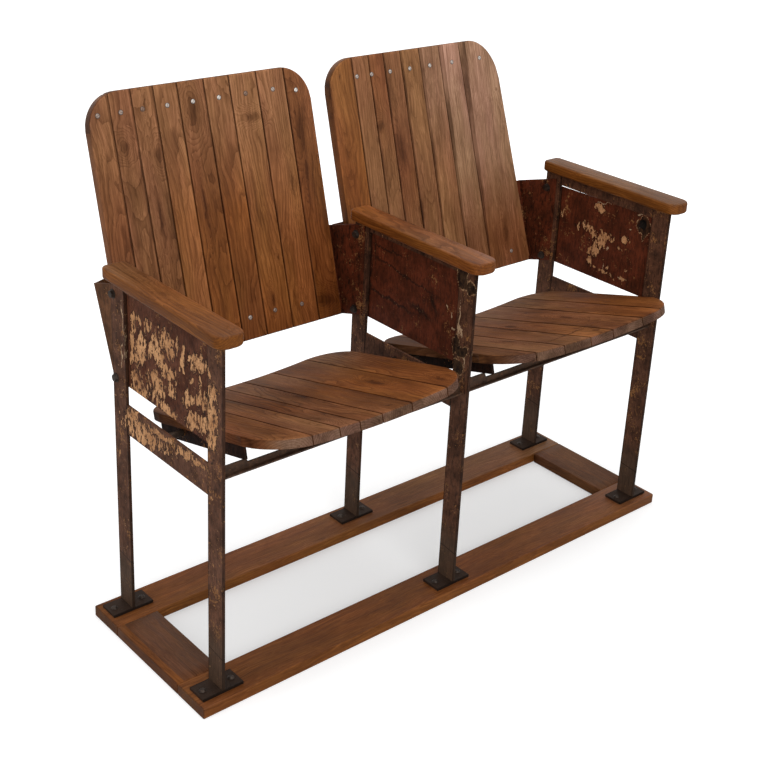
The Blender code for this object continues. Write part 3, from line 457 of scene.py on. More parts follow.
def old_paint(name, base, patches=(), chips=0.0, grime=0.5, flecks=0.5, streaks=(), curls=(), creases=(),
              shaded_seams=(), frame_steel=False):
    """Brush-painted mild steel: maroon enamel over tan primer, chipped and rusting.

    The eye gets a dull dark red-brown film, ragged-edged tan patches, orange-brown flecks and black grime.
    The base is the film's two colours and the grime's; the grime colour also draws painted shade round patches
    and in dents.
    """
    made, add = new_finish(name)
    place = add("TexCoord").outputs["Object"]
    # ragged edges: 14 mm tongues drawn out upwards, and 3 mm crumbs
    tall = add("Mapping", place, None, None, (70.0, 70.0, 34.0))
    torn = shaken(add, place, add("TexNoise", tall, 1.0, 5.0, 0.62), 0.024)
    crumb = add("TexNoise", place, 330.0, 3.0, 0.6)
    cloud = add("TexNoise", place, 28.0, 5.0, 0.6)
    # enamel, mottled by grime
    film = add("Mix RGBA", add("MapRange", cloud, 0.38, 0.62), base[0], base[1])
    soot = add("TexNoise", tall, 2.3, 6.0, 0.7)
    film = add("Mix RGBA", add("MapRange", soot, 0.48, 0.66, 0.0, grime), film, base[2])
    # brush marks and scratches, up to 2.5 mm wide and 35 mm long
    brush = add("TexNoise", add("Mapping", place, None, None, (400.0, 400.0, 28.0)), 1.0, 4.0, 0.65)
    film = add("VectorMath SCALE", film, add("MapRange", brush, 0.3, 0.7, 0.70, 1.32))
    # rust flecks of 2 to 4 mm, in drifts
    spot = add("TexNoise", place, 210.0, 4.0, 0.75)
    area = add("Math MULTIPLY", add("TexNoise", place, 26.0, 4.0, 0.6), 0.9)
    rust = add("MapRange", add("Math ADD", spot, area), 1.16 - 0.1 * flecks, 1.20 - 0.1 * flecks)
    colour = add("Mix RGBA", rust, film, add("Mix RGBA", crumb, "#4E2C16", "#B07C4C"))
    bare = None
    if patches:
        bite = add("TexNoise", add("Mapping", place, None, None, (150.0, 150.0, 70.0)), 1.0, 2.5, 0.6)
        near = add("Math ADD", blobs(add, torn, patches), add("MapRange", bite, 0.3, 0.7, -0.98, 0.78))
        near = add("Math ADD", near, add("MapRange", crumb, 0.3, 0.7, -0.10, 0.10))
        bare = add("MapRange", near, 0.99, 1.02, 1.0, 0.0)
        # painted shadow: a dark line round each patch, where the broken edge of the film would throw one
        lip = add("Math COMPARE", near, 1.12, 0.12)
        colour = add("Mix RGBA", add("Math MULTIPLY", lip, 0.85), colour, base[2])
    if chips:
        chip = add("TexNoise", torn, 90.0, 5.0, 0.72)
        small = add("MapRange", chip, 0.72 - 0.16 * chips, 0.735 - 0.16 * chips)
        bare = add("Math MAXIMUM", bare, small) if bare else small
    if bare:
        tan = add("Mix RGBA", add("MapRange", cloud, 0.3, 0.7), "#A47147", "#D5A173")
        tan = add("VectorMath SCALE", tan, add("MapRange", crumb, 0.3, 0.7, 0.72, 1.2))
        # islands of film left in the patches
        bare = add("Math MULTIPLY", bare, add("MapRange", soot, 0.54, 0.56, 1.0, 0.03))
        colour = add("Mix RGBA", bare, colour, tan)
    if streaks:
        near = add("Math ADD", blobs(add, torn, streaks), add("MapRange", crumb, 0.3, 0.7, -0.5, 0.5))
        colour = add("Mix RGBA", add("MapRange", near, 0.8, 1.0, 1.0, 0.0), colour, "#AE9173")
    if creases:
        # dents and scratches: dark lines, painted shade in the dents, with a few pale crumbs in them that are
        # partly painted highlight
        dent_shade = add("MapRange", blobs(add, torn, creases), 0.7, 1.5, 0.75, 0.0)
        colour = add("Mix RGBA", dent_shade, colour, base[2])
        speck_and_glint = add("Math MULTIPLY", dent_shade, add("MapRange", spot, 0.60, 0.66))
        colour = add("Mix RGBA", speck_and_glint, colour, "#A5825F")
    if curls:
        # blistered paint: dark rust inside, a pale broken lip round it
        near = blobs(add, torn, curls)
        scale = add("Mix RGBA", add("MapRange", soot, 0.42, 0.58), "#3A2A1A", "#120B07")
        colour = add("Mix RGBA", add("MapRange", near, 0.86, 1.0, 0.85, 0.0), colour, scale)
        lip = add("Math MULTIPLY", add("Math COMPARE", near, 1.0, 0.07), add("MapRange", crumb, 0.46, 0.58))
        colour = add("Mix RGBA", lip, colour, "#A5825F")
    _, along, up = add("SeparateXYZ", place).outputs
    for shaded_seam in shaded_seams:
        # painted shadow in the corner between the sheet and a leg, 3 mm wide
        off = add("Math ABSOLUTE", add("Math ADD", along, -shaded_seam))
        colour = add("VectorMath SCALE", colour, add("MapRange", off, 0.0006, 0.0034, 0.22, 1.0))
    if frame_steel:
        # bare brown steel at the foot of each leg, and nearly black foot plates
        low = add("MapRange", up, 0.10, 0.15, 0.75, 0.0)
        colour = add("Mix RGBA", low, colour, add("Mix RGBA", brush, "#241A13", "#5C4A3B"))
        plate = add("MapRange", up, 0.0268, 0.0276, 0.93, 0.0)
        colour = add("Mix RGBA", plate, colour, add("Mix RGBA", cloud, "#0F0A08", "#3F2E24"))
        # a slanting weld where the foot of each leg is spliced on, higher on the rear leg
        fore = add("Math ADD", along, -ROW_SHIFT)
        weld = add("Math COMPARE", add("Math MULTIPLY_ADD", fore, -WELD_SLOPE, up), WELD_HEIGHT, 0.0009)
        colour = add("Mix RGBA", add("Math MULTIPLY", weld, 0.8), colour, base[2])
        # painted shade in a line 2 mm wide along both edges of each leg, where its narrow faces turn away from
        # the light
        leg = add("Math ABSOLUTE", add("Math ADD", add("Math ABSOLUTE", fore), -LEG_REACH))
        edge = add("Math ABSOLUTE", add("Math ADD", leg, -LEG_WIDTH / 2))
        colour = add("VectorMath SCALE", colour, add("MapRange", edge, 0.0006, 0.0026, 0.40, 1.0))
    rough = add("MapRange", cloud, 0.3, 0.7, 0.48, 0.72)
    height = add("Math ADD", add("Math MULTIPLY", rust, 0.6), soot)
    if bare:
        height = add("Math SUBTRACT", height, bare)
    relief = add("Bump", named={"Strength": 0.6, "Distance": 0.0008, "Height": height})
    shader = add("BsdfPrincipled", colour, named={
        "Roughness": rough, "IOR": 1.5, "Normal": relief, "Specular IOR Level": 0.10})
    add("OutputMaterial", shader)
    return made


def worn_steel(name, colours, metallic, gloss):
    """Mild steel, rolled or turned and left bare, gone dark with handling and rust.

    The eye gets mottled dark metal and browner, duller rust spots.
    """
    made, add = new_finish(name)
    place = add("TexCoord").outputs["Object"]
    cloud = add("TexNoise", place, 75.0, 6.0, 0.65)
    colour = add("Mix RGBA", add("MapRange", cloud, 0.35, 0.65), colours[0], colours[1])
    spots = add("MapRange", add("TexNoise", place, 260.0, 4.0, 0.7), 0.60, 0.66)
    colour = add("Mix RGBA", spots, colour, colours[2])
    metal = add("MapRange", spots, 0.0, 1.0, metallic, 0.1)
    rough = add("MapRange", cloud, 0.3, 0.7, gloss - 0.08, gloss + 0.18)
    relief = add("Bump", named={"Strength": 0.4, "Distance": 0.0003, "Height": cloud})
    shader = add("BsdfPrincipled", colour, named={
        "Metallic": metal, "Roughness": rough, "Normal": relief, "Specular IOR Level": 0.2})
    add("OutputMaterial", shader)
    return made


def screw_finish():
    """Zinc-plated screw heads, some rusted brown or gone dark in the wood, each with a slot."""
    made, add = new_finish("zinc_screw_heads")
    age = add("Attribute", attribute_name="age").outputs["Fac"]
    head = add("Attribute", attribute_name="head").outputs["Vector"]
    across, along, _ = add("SeparateXYZ", head).outputs
    grit = add("TexNoise", add("TexCoord").outputs["Object"], 900.0, 2.0)
    zinc = add("Mix RGBA", grit, "#CFC6BC", "#EFEAE4")
    rust = add("Mix RGBA", grit, "#4A3222", "#A58470")
    colour = add("Mix RGBA", age, zinc, rust)
    # a slot 1 mm wide drawn as painted shade, and a dark ring round the head of grime and painted shade
    slot = add("MapRange", add("Math ABSOLUTE", across), 0.0004, 0.0006, 0.7, 0.0)
    out = add("Math ADD", add("Math MULTIPLY", across, across), add("Math MULTIPLY", along, along))
    ring = add("MapRange", add("Math SQRT", out), 0.0031, 0.0037, 0.0, 0.9)
    slot_and_ring_shade = add("Math MAXIMUM", slot, ring)
    colour = add("Mix RGBA", slot_and_ring_shade, colour, "#22150D")
    metal = add("MapRange", slot_and_ring_shade, 0.0, 0.5, 0.45, 0.0)
    add("OutputMaterial", add("BsdfPrincipled", colour, named={"Metallic": metal, "Roughness": 0.5}))
    return made


def make_finishes():
    """Every finish of the chair, by the part that wears it."""
    maroon = ("#602C19", "#461F0F", "#190C06")
    outer = ("#5F3623", "#452314", "#1A0E08")
    legs = ("#64412F", "#472D20", "#170F0A")
    grimy = ("#341B11", "#20110A", "#0D0705")
    # the brown of the left bracket is a painted reflection of the teak backrest beside it
    wood_reflection_brown = ("#6A4328", "#4C301D", "#2A1A0F")
    return {
        "back_1": oiled_teak("oiled_teak_back_1", marks=BACK_MARKS[0]),
        "back_2": oiled_teak("oiled_teak_back_2", depth=0.7, marks=BACK_MARKS[1]),
        "seat_1": oiled_teak("oiled_teak_seat_1", 0.64, 1.1, SEAT_MARKS[0], "XY", wear=0.40,
                             grime_and_shade=(0.0024, 0.30)),
        "seat_2": oiled_teak("oiled_teak_seat_2", 0.64, 1.2, SEAT_MARKS[1], "XY", 0.32, wear=0.44,
                             grime_and_shade=(0.0034, 0.18)),
        "teak_arm": oiled_teak("oiled_teak_armrest", 0.40, 1.0, ARM_MARKS, "XY", 0.72),
        "teak_base": oiled_teak("oiled_teak_base", 0.48, 0.5),
        "teak_base_dark": oiled_teak("stained_teak_base", 0.5, 0.35),
        "left_panel": old_paint("chipped_enamel_left", outer, LEFT_PATCHES, 0.42, 0.6, 0.3,
                                shaded_seams=(REAR_SEAM,)),
        "middle_panel": old_paint("dull_enamel_middle", maroon, (), 0.0, 0.6, 0.2, MIDDLE_STREAKS,
                                  MIDDLE_CURLS, MIDDLE_CREASES, (REAR_SEAM, FORE_SEAM)),
        "right_panel": old_paint("chipped_enamel_right", maroon, RIGHT_PATCHES, 0.0, 0.6, 0.2, RIGHT_STREAKS,
                                 RIGHT_CURLS, shaded_seams=(REAR_SEAM,)),
        "left_frame": old_paint("rusting_enamel_left", legs, LEFT_FRAME_PATCHES, 0.50, 0.6, 0.9,
                                LEFT_FRAME_STREAKS, frame_steel=True),
        "middle_frame": old_paint("rusting_enamel_middle", legs, (), 0.38, 0.8, 0.8, MIDDLE_STREAKS,
                                  MIDDLE_CURLS, frame_steel=True),
        "frame": old_paint("rusting_enamel_right", legs, (), 0.30, 0.7, 0.9, frame_steel=True),
        "bracket": old_paint("dull_enamel_bracket", maroon, (), 0.33, 0.95, 0.7),
        "seat_frame": old_paint("grimy_enamel_seat_frame", grimy, (), 0.20, 0.95, 0.6),
        "left_bracket": old_paint("bracket_with_painted_reflection", wood_reflection_brown, (), 0.0, 0.6, 0.5),
        "scale": worn_steel("burnt_rust_scale", ("#0E0906", "#1E140E", "#3A2A1C"), 0.0, 0.7),
        "steel": worn_steel("dark_rolled_steel", ("#2E2018", "#503A2B", "#754B31"), 0.1, 0.55),
        "stud": worn_steel("worn_turned_steel", ("#2E241D", "#46372C", "#4F3524"), 0.5, 0.45),
        "screw": screw_finish(),
        "dark_bolt": worn_steel("blackened_bolt_steel", ("#2B231F", "#4A4039", "#4E3223"), 0.7, 0.45),
    }


# Shapes

def plain_mesh(item, name):
    """The finished shape of an object, as a plain mesh; the object goes."""
    bpy.context.view_layer.update()
    made = bpy.data.meshes.new_from_object(item.evaluated_get(bpy.context.evaluated_depsgraph_get()))
    made.name = name
    bpy.data.objects.remove(item, do_unlink=True)
    return made


def new_piece(name, mesh, body, finish, replaced=()):
    """A finished piece of the chair, riding on a body."""
    mesh.materials.clear()
    mesh.materials.append(FINISHES[finish])
    item = new_object(name, mesh)
    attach(item, body)
    if replaced:
        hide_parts(*replaced)


def store(mesh, name, kind, values, domain="POINT"):
    """Stores values on a mesh under a name, where the finishes and trees find them."""
    field = {"FLOAT_VECTOR": "vector", "FLOAT_COLOR": "color"}.get(kind, "value")
    mesh.attributes.new(name, kind, domain).data.foreach_set(field, values)


def fetch(items, field, width=1, kind=float):
    """One field of every item, as an array with a row for each item."""
    values = np.zeros(len(items) * width, kind)
    items.foreach_get(field, values)
    return values.reshape(-1, width) if width > 1 else values


def blend_tones(tones, share):
    """The colour at each point's share of its board's length, blended from the tones that its words name."""
    boards = {words: [linear(TEAK[word]) for word in words.split()] for words in set(tones)}
    values = np.array([boards[words] for words in tones])
    steps = values.shape[1]
    at = np.clip(np.asarray(share) * steps - 0.5, 0, steps - 1)
    low = np.minimum(at.astype(int), steps - 2)
    part = (at - low)[:, None]
    rows = np.arange(len(values))
    return values[rows, low] * (1 - part) + values[rows, low + 1] * part


def smooth(mesh, angle=35.0):
    """Smooth shading between faces that meet at less than an angle in degrees."""
    mesh.shade_smooth()
    mesh.set_sharp_from_angle(angle=math.radians(angle))


def new_tree(name, sockets, output):
    """An empty Geometry Nodes tree, the function that adds nodes to it, and the sockets it is given."""
    tree = bpy.data.node_groups.new(name, "GeometryNodeTree")
    for kind, labels in sockets.items():
        for label in labels:
            tree.interface.new_socket(name=label, in_out="INPUT", socket_type="NodeSocket" + kind)
    tree.interface.new_socket(name=output, in_out="OUTPUT", socket_type="NodeSocketGeometry")
    add = partial(add_node, tree)
    return tree, add, add("NodeGroupInput").outputs


def slatted_board_tree():
    """Slats side by side from a row of points, cut to one rounded outline, dished and leaned."""
    tree, add, given = new_tree("slatted_board", {
        "Geometry": ["Slats"],
        "Float": ["Low", "High", "Half Width", "Low Radius", "Left Top Radius", "Right Top Radius",
                  "Thickness", "Dish", "Lean", "Inner Edge", "Side Ease"],
        "Material": ["Finish"],
    }, "Board")
    # one slat: a block of 24 strips, its sharp edges marked for easing
    block = add("GeometryNodeMeshCube", (1, 1, 1), 25, 11, 2).outputs["Mesh"]
    at = add("SeparateXYZ", add("GeometryNodeInputPosition")).outputs
    block = add("GeometryNodeStoreNamedAttribute", block, None, "along", at[1], data_type="FLOAT",
                domain="POINT")
    far = [add("Math GREATER_THAN", add("Math ABSOLUTE", at[k]), 0.49) for k in range(3)]
    count = add("Math ADD", add("Math ADD", far[0], far[1]), far[2])
    sharp = add("Math GREATER_THAN", count, 1.5)
    end = add("Math MULTIPLY", add("Math GREATER_THAN", at[2], 0.49), far[1])
    weight = add("Math MULTIPLY", add("Mix FLOAT", end, given["Side Ease"], 1.0), sharp)
    block = add("GeometryNodeStoreNamedAttribute", block, None, "bevel_weight_edge", weight,
                data_type="FLOAT", domain="EDGE")
    wide = add("GeometryNodeInputNamedAttribute", "wide", data_type="FLOAT")
    size = add("CombineXYZ", wide, 1.0, 1.0)
    row = add("GeometryNodeInstanceOnPoints", given["Slats"], None, block, named={"Scale": size})
    board = add("GeometryNodeRealizeInstances", row)
    # outline: each corner drops by a quarter circle
    x, along, through = add("SeparateXYZ", add("GeometryNodeInputPosition")).outputs
    half = given["Half Width"]
    reach = add("Math ABSOLUTE", x)
    to_right = add("Math GREATER_THAN", x, 0.0)
    high_radius = add("Mix FLOAT", to_right, given["Left Top Radius"], given["Right Top Radius"])
    drops = []
    for radius in (given["Low Radius"], high_radius):
        run = add("Math ADD", add("Math SUBTRACT", reach, half), radius)
        run = add("Math MINIMUM", add("Math MAXIMUM", run, 0.0), radius)
        rise = add("Math SUBTRACT", add("Math MULTIPLY", radius, radius), add("Math MULTIPLY", run, run))
        drops.append(add("Math SUBTRACT", radius, add("Math SQRT", rise)))
    low = add("Math ADD", given["Low"], drops[0])
    high = add("Math SUBTRACT", given["High"], drops[1])
    up = add("Mix FLOAT", add("Math ADD", along, 0.5), low, high)
    # dish: deepest in the middle of the row of slats
    part = add("Math DIVIDE", reach, half)
    sag = add("Math SUBTRACT", add("Math MULTIPLY", part, part), 1.0)
    sag = add("Math MULTIPLY", sag, given["Dish"])
    level = add("Math MULTIPLY_ADD", add("Math ADD", through, 0.5), given["Thickness"], sag)
    # lean: the top is pulled sideways, most at the edge that is furthest from the inner one
    gone = add("Math SUBTRACT", given["Inner Edge"], x)
    pull = add("Math DIVIDE", add("Math ABSOLUTE", gone), add("Math MULTIPLY", half, 2.0))
    pull = add("Math MULTIPLY", add("Math POWER", pull, 2.5), add("Math SIGN", gone))
    pull = add("Math MULTIPLY", pull, given["Lean"])
    leant = add("Math MULTIPLY_ADD", pull, add("Math DIVIDE", up, given["High"]), x)
    board = add("GeometryNodeSetPosition", board, None, add("CombineXYZ", leant, up, level))
    add("NodeGroupOutput", add("GeometryNodeSetMaterial", board, None, given["Finish"]))
    return tree


def grow(tree, points, values):
    """Runs a tree on a mesh of points and gives the object."""
    item = new_object(tree.name, points)
    step = item.modifiers.new(tree.name, "NODES")
    step.node_group = tree
    for socket in tree.interface.items_tree:
        if socket.in_out == "INPUT" and socket.name in values:
            step[socket.identifier] = values[socket.name]
    return item


def slatted_board(name, body, slot, tree, shares, tones, sizes, matrix, ease):
    """A board of slats in its place, each slat with its own tone and log."""
    width = sizes["Half Width"] * 2
    count = len(shares)
    edges = [width * sum(shares[:k]) / sum(shares) - width / 2 for k in range(count + 1)]
    lefts = np.array([edges[k] + (SLAT_GAP / 2 if k else 0) for k in range(count)])
    rights = np.array([edges[k + 1] - (SLAT_GAP / 2 if k < count - 1 else 0) for k in range(count)])
    middles = (lefts + rights) / 2
    points = bpy.data.meshes.new(name + "_board_points")
    points.from_pydata([(middle, 0, 0) for middle in middles], [], [])
    store(points, "wide", "FLOAT", rights - lefts)
    store(points, "slat", "INT", range(count))
    item = grow(tree, points, {**sizes, "Finish": FINISHES[name]})
    bevel = item.modifiers.new("eased", "BEVEL")
    bevel.limit_method = "WEIGHT"
    bevel.width = ease
    bevel.segments = 3
    mesh = plain_mesh(item, name + "_board")
    number = fetch(mesh.attributes["slat"].data, "value", 1, int)
    along = fetch(mesh.attributes["along"].data, "value")
    place = fetch(mesh.vertices, "co", 3)
    # each slat comes from its own place in its own log
    chance = random.Random(name + "_board")
    hearts = [(chance.choice((-1, 1)) * chance.uniform(0.004, 0.07), chance.uniform(0, 9),
               chance.uniform(0.02, 0.06)) for _ in shares]
    off = place[:, 0] - middles[number]
    grain = place + np.array(hearts)[number]
    grain[:, 0] -= middles[number]
    length = sizes["High"] - sizes["Low"]
    to_side = ((rights - lefts) / 2)[number] - np.abs(off)
    rim = np.clip(np.minimum(to_side, (0.5 - np.abs(along)) * length), 0, 1)
    colours = blend_tones([tones[k] for k in number], (place[:, 1] - sizes["Low"]) / length)
    # end grain where the slats are sawn across; at their rear or top a paler tone, painted light that lifts the
    # seats' rear corners out of the lamps' shade
    facing = np.abs(fetch(mesh.vertex_normals, "vector", 3))
    sawn = np.clip((facing[:, 1] - 0.5) / 0.3, 0, 1)[:, None]
    ends = np.where(along[:, None] > 0, linear(TEAK["lit_rear_end"]), linear(TEAK["end_grain"]))
    colours = colours * (1 - sawn) + ends * sawn
    if slot == "teak_seat":
        # none of the joints' grime and painted shade on a seat's outer sawn faces
        outer = np.abs(place[:, 0]) > width / 2 - SAWN_REACH
        turned = np.clip((facing[:, 0] - 0.5) / 0.3, 0, 1) * outer
        rim = np.maximum(rim, CLEAN_RIM * np.maximum(sawn[:, 0], turned))
    store(mesh, "grain", "FLOAT_VECTOR", grain.ravel())
    store(mesh, "rim", "FLOAT", rim)
    store(mesh, "tone", "FLOAT_COLOR", colours.ravel())
    mesh.transform(matrix)
    smooth(mesh)
    new_piece(name + "_board", mesh, body, name, [f"{name}_slat_{k + 1}" for k in range(count)])


def build_backs(tree):
    """Both backrests."""
    stand = Matrix.Translation((0, BACK_THICKNESS, 0)) @ Matrix.Rotation(math.pi / 2, 4, "X")
    for number, back in enumerate(BACKS):
        foot = Matrix.Translation(BACK_FOOT + Vector((back["centre"], 0, 0)))
        sizes = {
            "Low": 0.0, "High": BACK_LENGTH, "Half Width": back["width"] / 2, "Low Radius": BACK_LOW_RADIUS,
            "Left Top Radius": back["tops"][0], "Right Top Radius": back["tops"][1],
            "Thickness": BACK_THICKNESS, "Dish": 0.0, "Lean": back["lean"], "Inner Edge": back["inner"],
            "Side Ease": 0.38,
        }
        matrix = foot @ Matrix.Rotation(-BACK_TILT, 4, "X") @ stand
        slatted_board(f"back_{number + 1}", "chair", "teak_back", tree, BACK_SHARES[number],
                      BACK_TONES[number], sizes, matrix, BACK_EASE)


def build_seats(tree):
    """Both seats' slatted tops, with the seats down."""
    lift = Matrix.Translation((0, 0, SEAT_RISE - SEAT_THICKNESS))
    for number, seat in enumerate(SEATS):
        name = f"seat_{number + 1}"
        pivot = Matrix.Translation(PIVOT + Vector((seat["centre"], 0, 0)))
        sizes = {
            "Low": seat["rear"] - seat["depth"], "High": seat["rear"], "Half Width": seat["width"] / 2,
            "Low Radius": SEAT_RADII[0], "Left Top Radius": SEAT_RADII[1], "Right Top Radius": SEAT_RADII[1],
            "Thickness": SEAT_THICKNESS, "Dish": SEAT_DISH, "Lean": 0.0, "Inner Edge": 1.0, "Side Ease": 0.10,
        }
        matrix = pivot @ Matrix.Rotation(-math.radians(seat["tilt"]), 4, "X") @ lift
        slatted_board(name, name, "teak_seat", tree, SEAT_SHARES[number], SEAT_TONES[number], sizes, matrix,
                      SEAT_EASE)


def open_node(node):
    """A copy of a node's mesh, and its shape with the flat faces whole again."""
    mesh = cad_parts[node].data.copy()
    shape = bmesh.new()
    shape.from_mesh(mesh)
    bmesh.ops.remove_doubles(shape, verts=shape.verts, dist=1e-5)
    bmesh.ops.dissolve_limit(shape, angle_limit=0.01, verts=shape.verts, edges=shape.edges)
    return mesh, shape


def cut_across(shape, place, square):
    """Divides a shape's faces along a plane; nothing is taken away."""
    parts = shape.verts[:] + shape.edges[:] + shape.faces[:]
    bmesh.ops.bisect_plane(shape, geom=parts, plane_co=place, plane_no=square)


def plank(node, slot, turn, seed, tones, margin):
    """One solid board over its node, its grain along its length, its tones blended from end to end."""
    mesh, shape = open_node(node)
    low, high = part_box(node)
    axis = 0 if turn else 1
    across = Vector((1, 0, 0))
    for k in range(1, PLANK_PARTS):
        cut_across(shape, low + (high - low) * (k / PLANK_PARTS), across if turn else Vector((0, 1, 0)))
    if margin:
        for edge in (margin, margin + PALE_FADE):
            cut_across(shape, low + across * edge, across)
    shape.to_mesh(mesh)
    shape.free()
    mesh.name = node + "_board"
    # each point's place in its board is measured from the heart of the log
    chance = random.Random(seed)
    heart = Vector((chance.uniform(-0.05, 0.05), chance.uniform(0, 9), chance.uniform(0.03, 0.08)))
    along = Matrix.Rotation(math.radians(turn), 4, "Z")
    store(mesh, "grain", "FLOAT_VECTOR", [c for v in mesh.vertices for c in (along @ v.co) + heart])
    store(mesh, "rim", "FLOAT", [1.0] * len(mesh.vertices))
    # each face corner has the tone of its place; sawn sides are more orange, and faces turned along x darker:
    # end grain, and painted shade on the base planks' shaded long sides
    corners = [v for face in mesh.polygons for v in face.vertices]
    share = [(mesh.vertices[v].co[axis] - low[axis]) / (high[axis] - low[axis]) for v in corners]
    colours = blend_tones([tones] * len(corners), share)
    is_arm = slot == "teak_arm"
    side = np.array(linear(TEAK["arm_edge" if is_arm else "edge"]))
    darker = side if is_arm else np.array(linear(TEAK["plank_end_and_shade"]))
    for face in mesh.polygons:
        pale = face.center.x < low.x + margin + 0.001
        part = 1.0 if pale else min(1.0, max(0.0, (0.9 - abs(face.normal.z)) / 0.5))
        span = slice(face.loop_start, face.loop_start + face.loop_total)
        colours[span] = colours[span] * (1 - part) + (darker if abs(face.normal.x) > 0.6 else side) * part
    store(mesh, "tone", "FLOAT_COLOR", colours.ravel(), "CORNER")
    smooth(mesh)
    new_piece(node + "_board", mesh, "chair", slot, [node])


def fastener_tree():
    """A head on each point, round or six-sided, turned at random, square to the point's direction."""
    tree, add, given = new_tree("fasteners", {
        "Geometry": ["Points"], "Int": HEAD_SIZES[:1], "Float": HEAD_SIZES[1:], "Material": ["Finish"],
    }, "Heads")
    radius, tall = given["Washer Radius"], given["Washer Height"]
    crown = add("Math MULTIPLY", given["Radius"], given["Rim Share"])
    head = add("GeometryNodeMeshCone", given["Sides"], 1, 1, crown, given["Radius"], given["Height"])
    lifted = add("CombineXYZ", 0.0, 0.0, tall)
    head = add("GeometryNodeTransform", head.outputs["Mesh"], named={"Translation": lifted})
    washer = add("GeometryNodeMeshCone", 20, 1, 1, radius, radius, tall)
    pair = add("GeometryNodeJoinGeometry")
    tree.links.new(head.outputs[0], pair.inputs[0])
    tree.links.new(washer.outputs["Mesh"], pair.inputs[0])
    own = add("GeometryNodeInputPosition")
    pair = add("GeometryNodeStoreNamedAttribute", pair, None, "head", own, data_type="FLOAT_VECTOR",
               domain="POINT")
    way = add("GeometryNodeInputNamedAttribute", "way", data_type="FLOAT_VECTOR")
    square = add("FunctionNodeAlignRotationToVector", named={"Vector": way.outputs[0]}, axis="Z")
    spin = add("FunctionNodeRandomValue", data_type="FLOAT", named={"Seed": 11})
    spin.inputs[2].default_value, spin.inputs[3].default_value = 0.0, math.pi
    twist = add("FunctionNodeAxisAngleToRotation", (0, 0, 1), spin.outputs[1])
    turned = add("FunctionNodeRotateRotation", square, twist, rotation_space="LOCAL")
    heads = add("GeometryNodeInstanceOnPoints", given["Points"], None, pair, named={"Rotation": turned})
    heads = add("GeometryNodeRealizeInstances", heads)
    add("NodeGroupOutput", add("GeometryNodeSetMaterial", heads, None, given["Finish"]))
    return tree


def fasteners(name, tree, finish, spots, sizes, ages=()):
    """A set of like heads; each spot is a place and the way its head faces."""
    points = bpy.data.meshes.new(name + "_points")
    points.from_pydata([tuple(place) for place, _ in spots], [], [])
    store(points, "way", "FLOAT_VECTOR", [c for _, way in spots for c in way])
    if ages:
        store(points, "age", "FLOAT", ages)
    values = dict(zip(HEAD_SIZES, sizes))
    mesh = plain_mesh(grow(tree, points, {**values, "Finish": FINISHES[finish]}), name)
    smooth(mesh, 30.0)
    new_piece(name, mesh, "chair", finish)


def build_fasteners():
    """Wood screws in the slats, bolts in the brackets and screws in the foot plates."""
    tree = fastener_tree()
    slope = Vector((0, math.sin(BACK_TILT), math.cos(BACK_TILT)))
    facing = Vector((0, -math.cos(BACK_TILT), math.sin(BACK_TILT)))
    # the heads stand 0.1 mm off the wood
    screws = [(BACK_FOOT + Vector((x / 1000, 0, 0)) + slope * (up / 1000) + facing * 0.0001, facing)
              for x, up in SCREW_PLACES]
    fasteners("back_screws", tree, "screw", screws, SCREW, SCREW_AGES)
    # bolts through the brackets, on both faces of the rear legs
    bolts = []
    for k, x in enumerate(STANDARDS):
        outer = x - LEG_THICKNESS - (BRACKET_SHEET if k else 0.0)
        inner = x + (BRACKET_SHEET if k < 2 else 0.0)
        for y, z in BOLT_PLACES:
            bolts.append((Vector((outer, y, z)), Vector((-1, 0, 0))))
            bolts.append((Vector((inner, y, z)), Vector((1, 0, 0))))
    fasteners("bracket_bolts", tree, "dark_bolt", bolts, HEXAGON)
    # two round heads in each foot plate
    feet = []
    for x in STANDARDS:
        for y in LEG_DEPTHS:
            for side in (-FOOT_SCREW_PITCH, FOOT_SCREW_PITCH):
                feet.append((Vector((x - LEG_THICKNESS / 2 + side, y, FOOT_PLATE_TOP)), Vector((0, 0, 1))))
    fasteners("foot_screws", tree, "dark_bolt", feet, DOME)


def lap_panel(side, open_from=math.inf):
    """A sheet panel whose top edge laps the iron under the armrest, up to where a slit is left open."""
    name = side + "_side_panel"
    mesh, shape = open_node(name)
    if open_from < math.inf:
        for line in (open_from, open_from - SLIT_TAPER):
            cut_across(shape, (0, line, 0), (0, 1, 0))
    # the points of the top edge, told apart to the nearest millimetre
    for v in shape.verts:
        if v.co.z > PANEL_TOP - 0.001 and v.co.y < open_from + 0.001:
            v.co.z = PANEL_LAP_TOP if v.co.y < open_from - 0.001 else SLIT_TOP
    bmesh.ops.triangulate(shape, faces=[face for face in shape.faces if len(face.verts) > 4])
    shape.to_mesh(mesh)
    shape.free()
    mesh.name = name + "_sheet"
    new_piece(name + "_sheet", mesh, "chair", side + "_panel", [name])


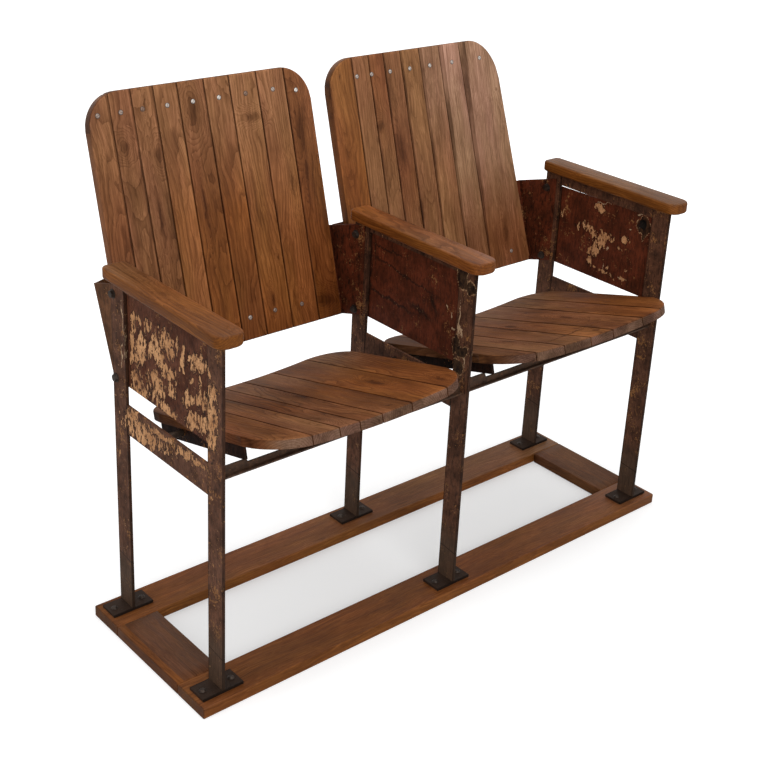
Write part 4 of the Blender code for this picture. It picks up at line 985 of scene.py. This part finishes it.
def rust_crater():
    """The flap of scale that hangs behind the hole rusted through the right panel."""
    shape = bmesh.new()
    rings = []
    chance = random.Random(21)
    for share, depth in CRATER_RINGS:
        ring = []
        for k in range(CRATER_SIDES):
            angle = k / CRATER_SIDES * math.tau
            size = share * (1.0 + chance.uniform(-0.07, 0.07))
            across = CRATER_HALVES[0] * size * math.cos(angle)
            up = CRATER_HALVES[1] * size * math.sin(angle)
            ring.append(shape.verts.new(RUST_HOLE + Vector((depth, across, up))))
        rings.append(ring)
    for first, second in zip(rings, rings[1:]):
        for k in range(CRATER_SIDES):
            after = (k + 1) % CRATER_SIDES
            shape.faces.new((first[k], first[after], second[after], second[k]))
    shape.faces.new(rings[-1])
    bmesh.ops.recalc_face_normals(shape, faces=shape.faces)
    mesh = bpy.data.meshes.new("rust_crater")
    shape.to_mesh(mesh)
    shape.free()
    item = new_object("rust_crater", mesh)
    wall = item.modifiers.new("wall", "SOLIDIFY")
    wall.thickness = CRATER_WALL
    wall.offset = 1.0
    mesh = plain_mesh(item, "rust_crater_shape")
    smooth(mesh, 50.0)
    new_piece("rust_crater", mesh, "chair", "scale")


def dress_steel():
    """Finishes on the steel nodes."""
    wear = {
        "left_side_frame": "left_frame", "middle_side_frame": "middle_frame", "right_side_frame": "frame",
    }
    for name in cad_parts:
        if name.endswith("bracket"):
            wear[name] = "left_bracket" if name == "back_1_left_bracket" else "bracket"
        elif name.startswith("seat") and name.endswith("_frame"):
            wear[name] = "seat_frame"
        elif name.endswith(("strap", "cross_bar")):
            wear[name] = "steel"
        elif name.endswith("stud"):
            wear[name] = "stud"
    for name, finish in wear.items():
        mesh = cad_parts[name].data
        mesh.materials.clear()
        mesh.materials.append(FINISHES[finish])


set_camera()
set_room()
FINISHES = make_finishes()
board_tree = slatted_board_tree()
build_backs(board_tree)
build_seats(board_tree)
for board in PLANKS:
    plank(*board)
lap_panel("left")
lap_panel("middle")
lap_panel("right", SLIT_END)
rust_crater()
dress_steel()
build_fasteners()
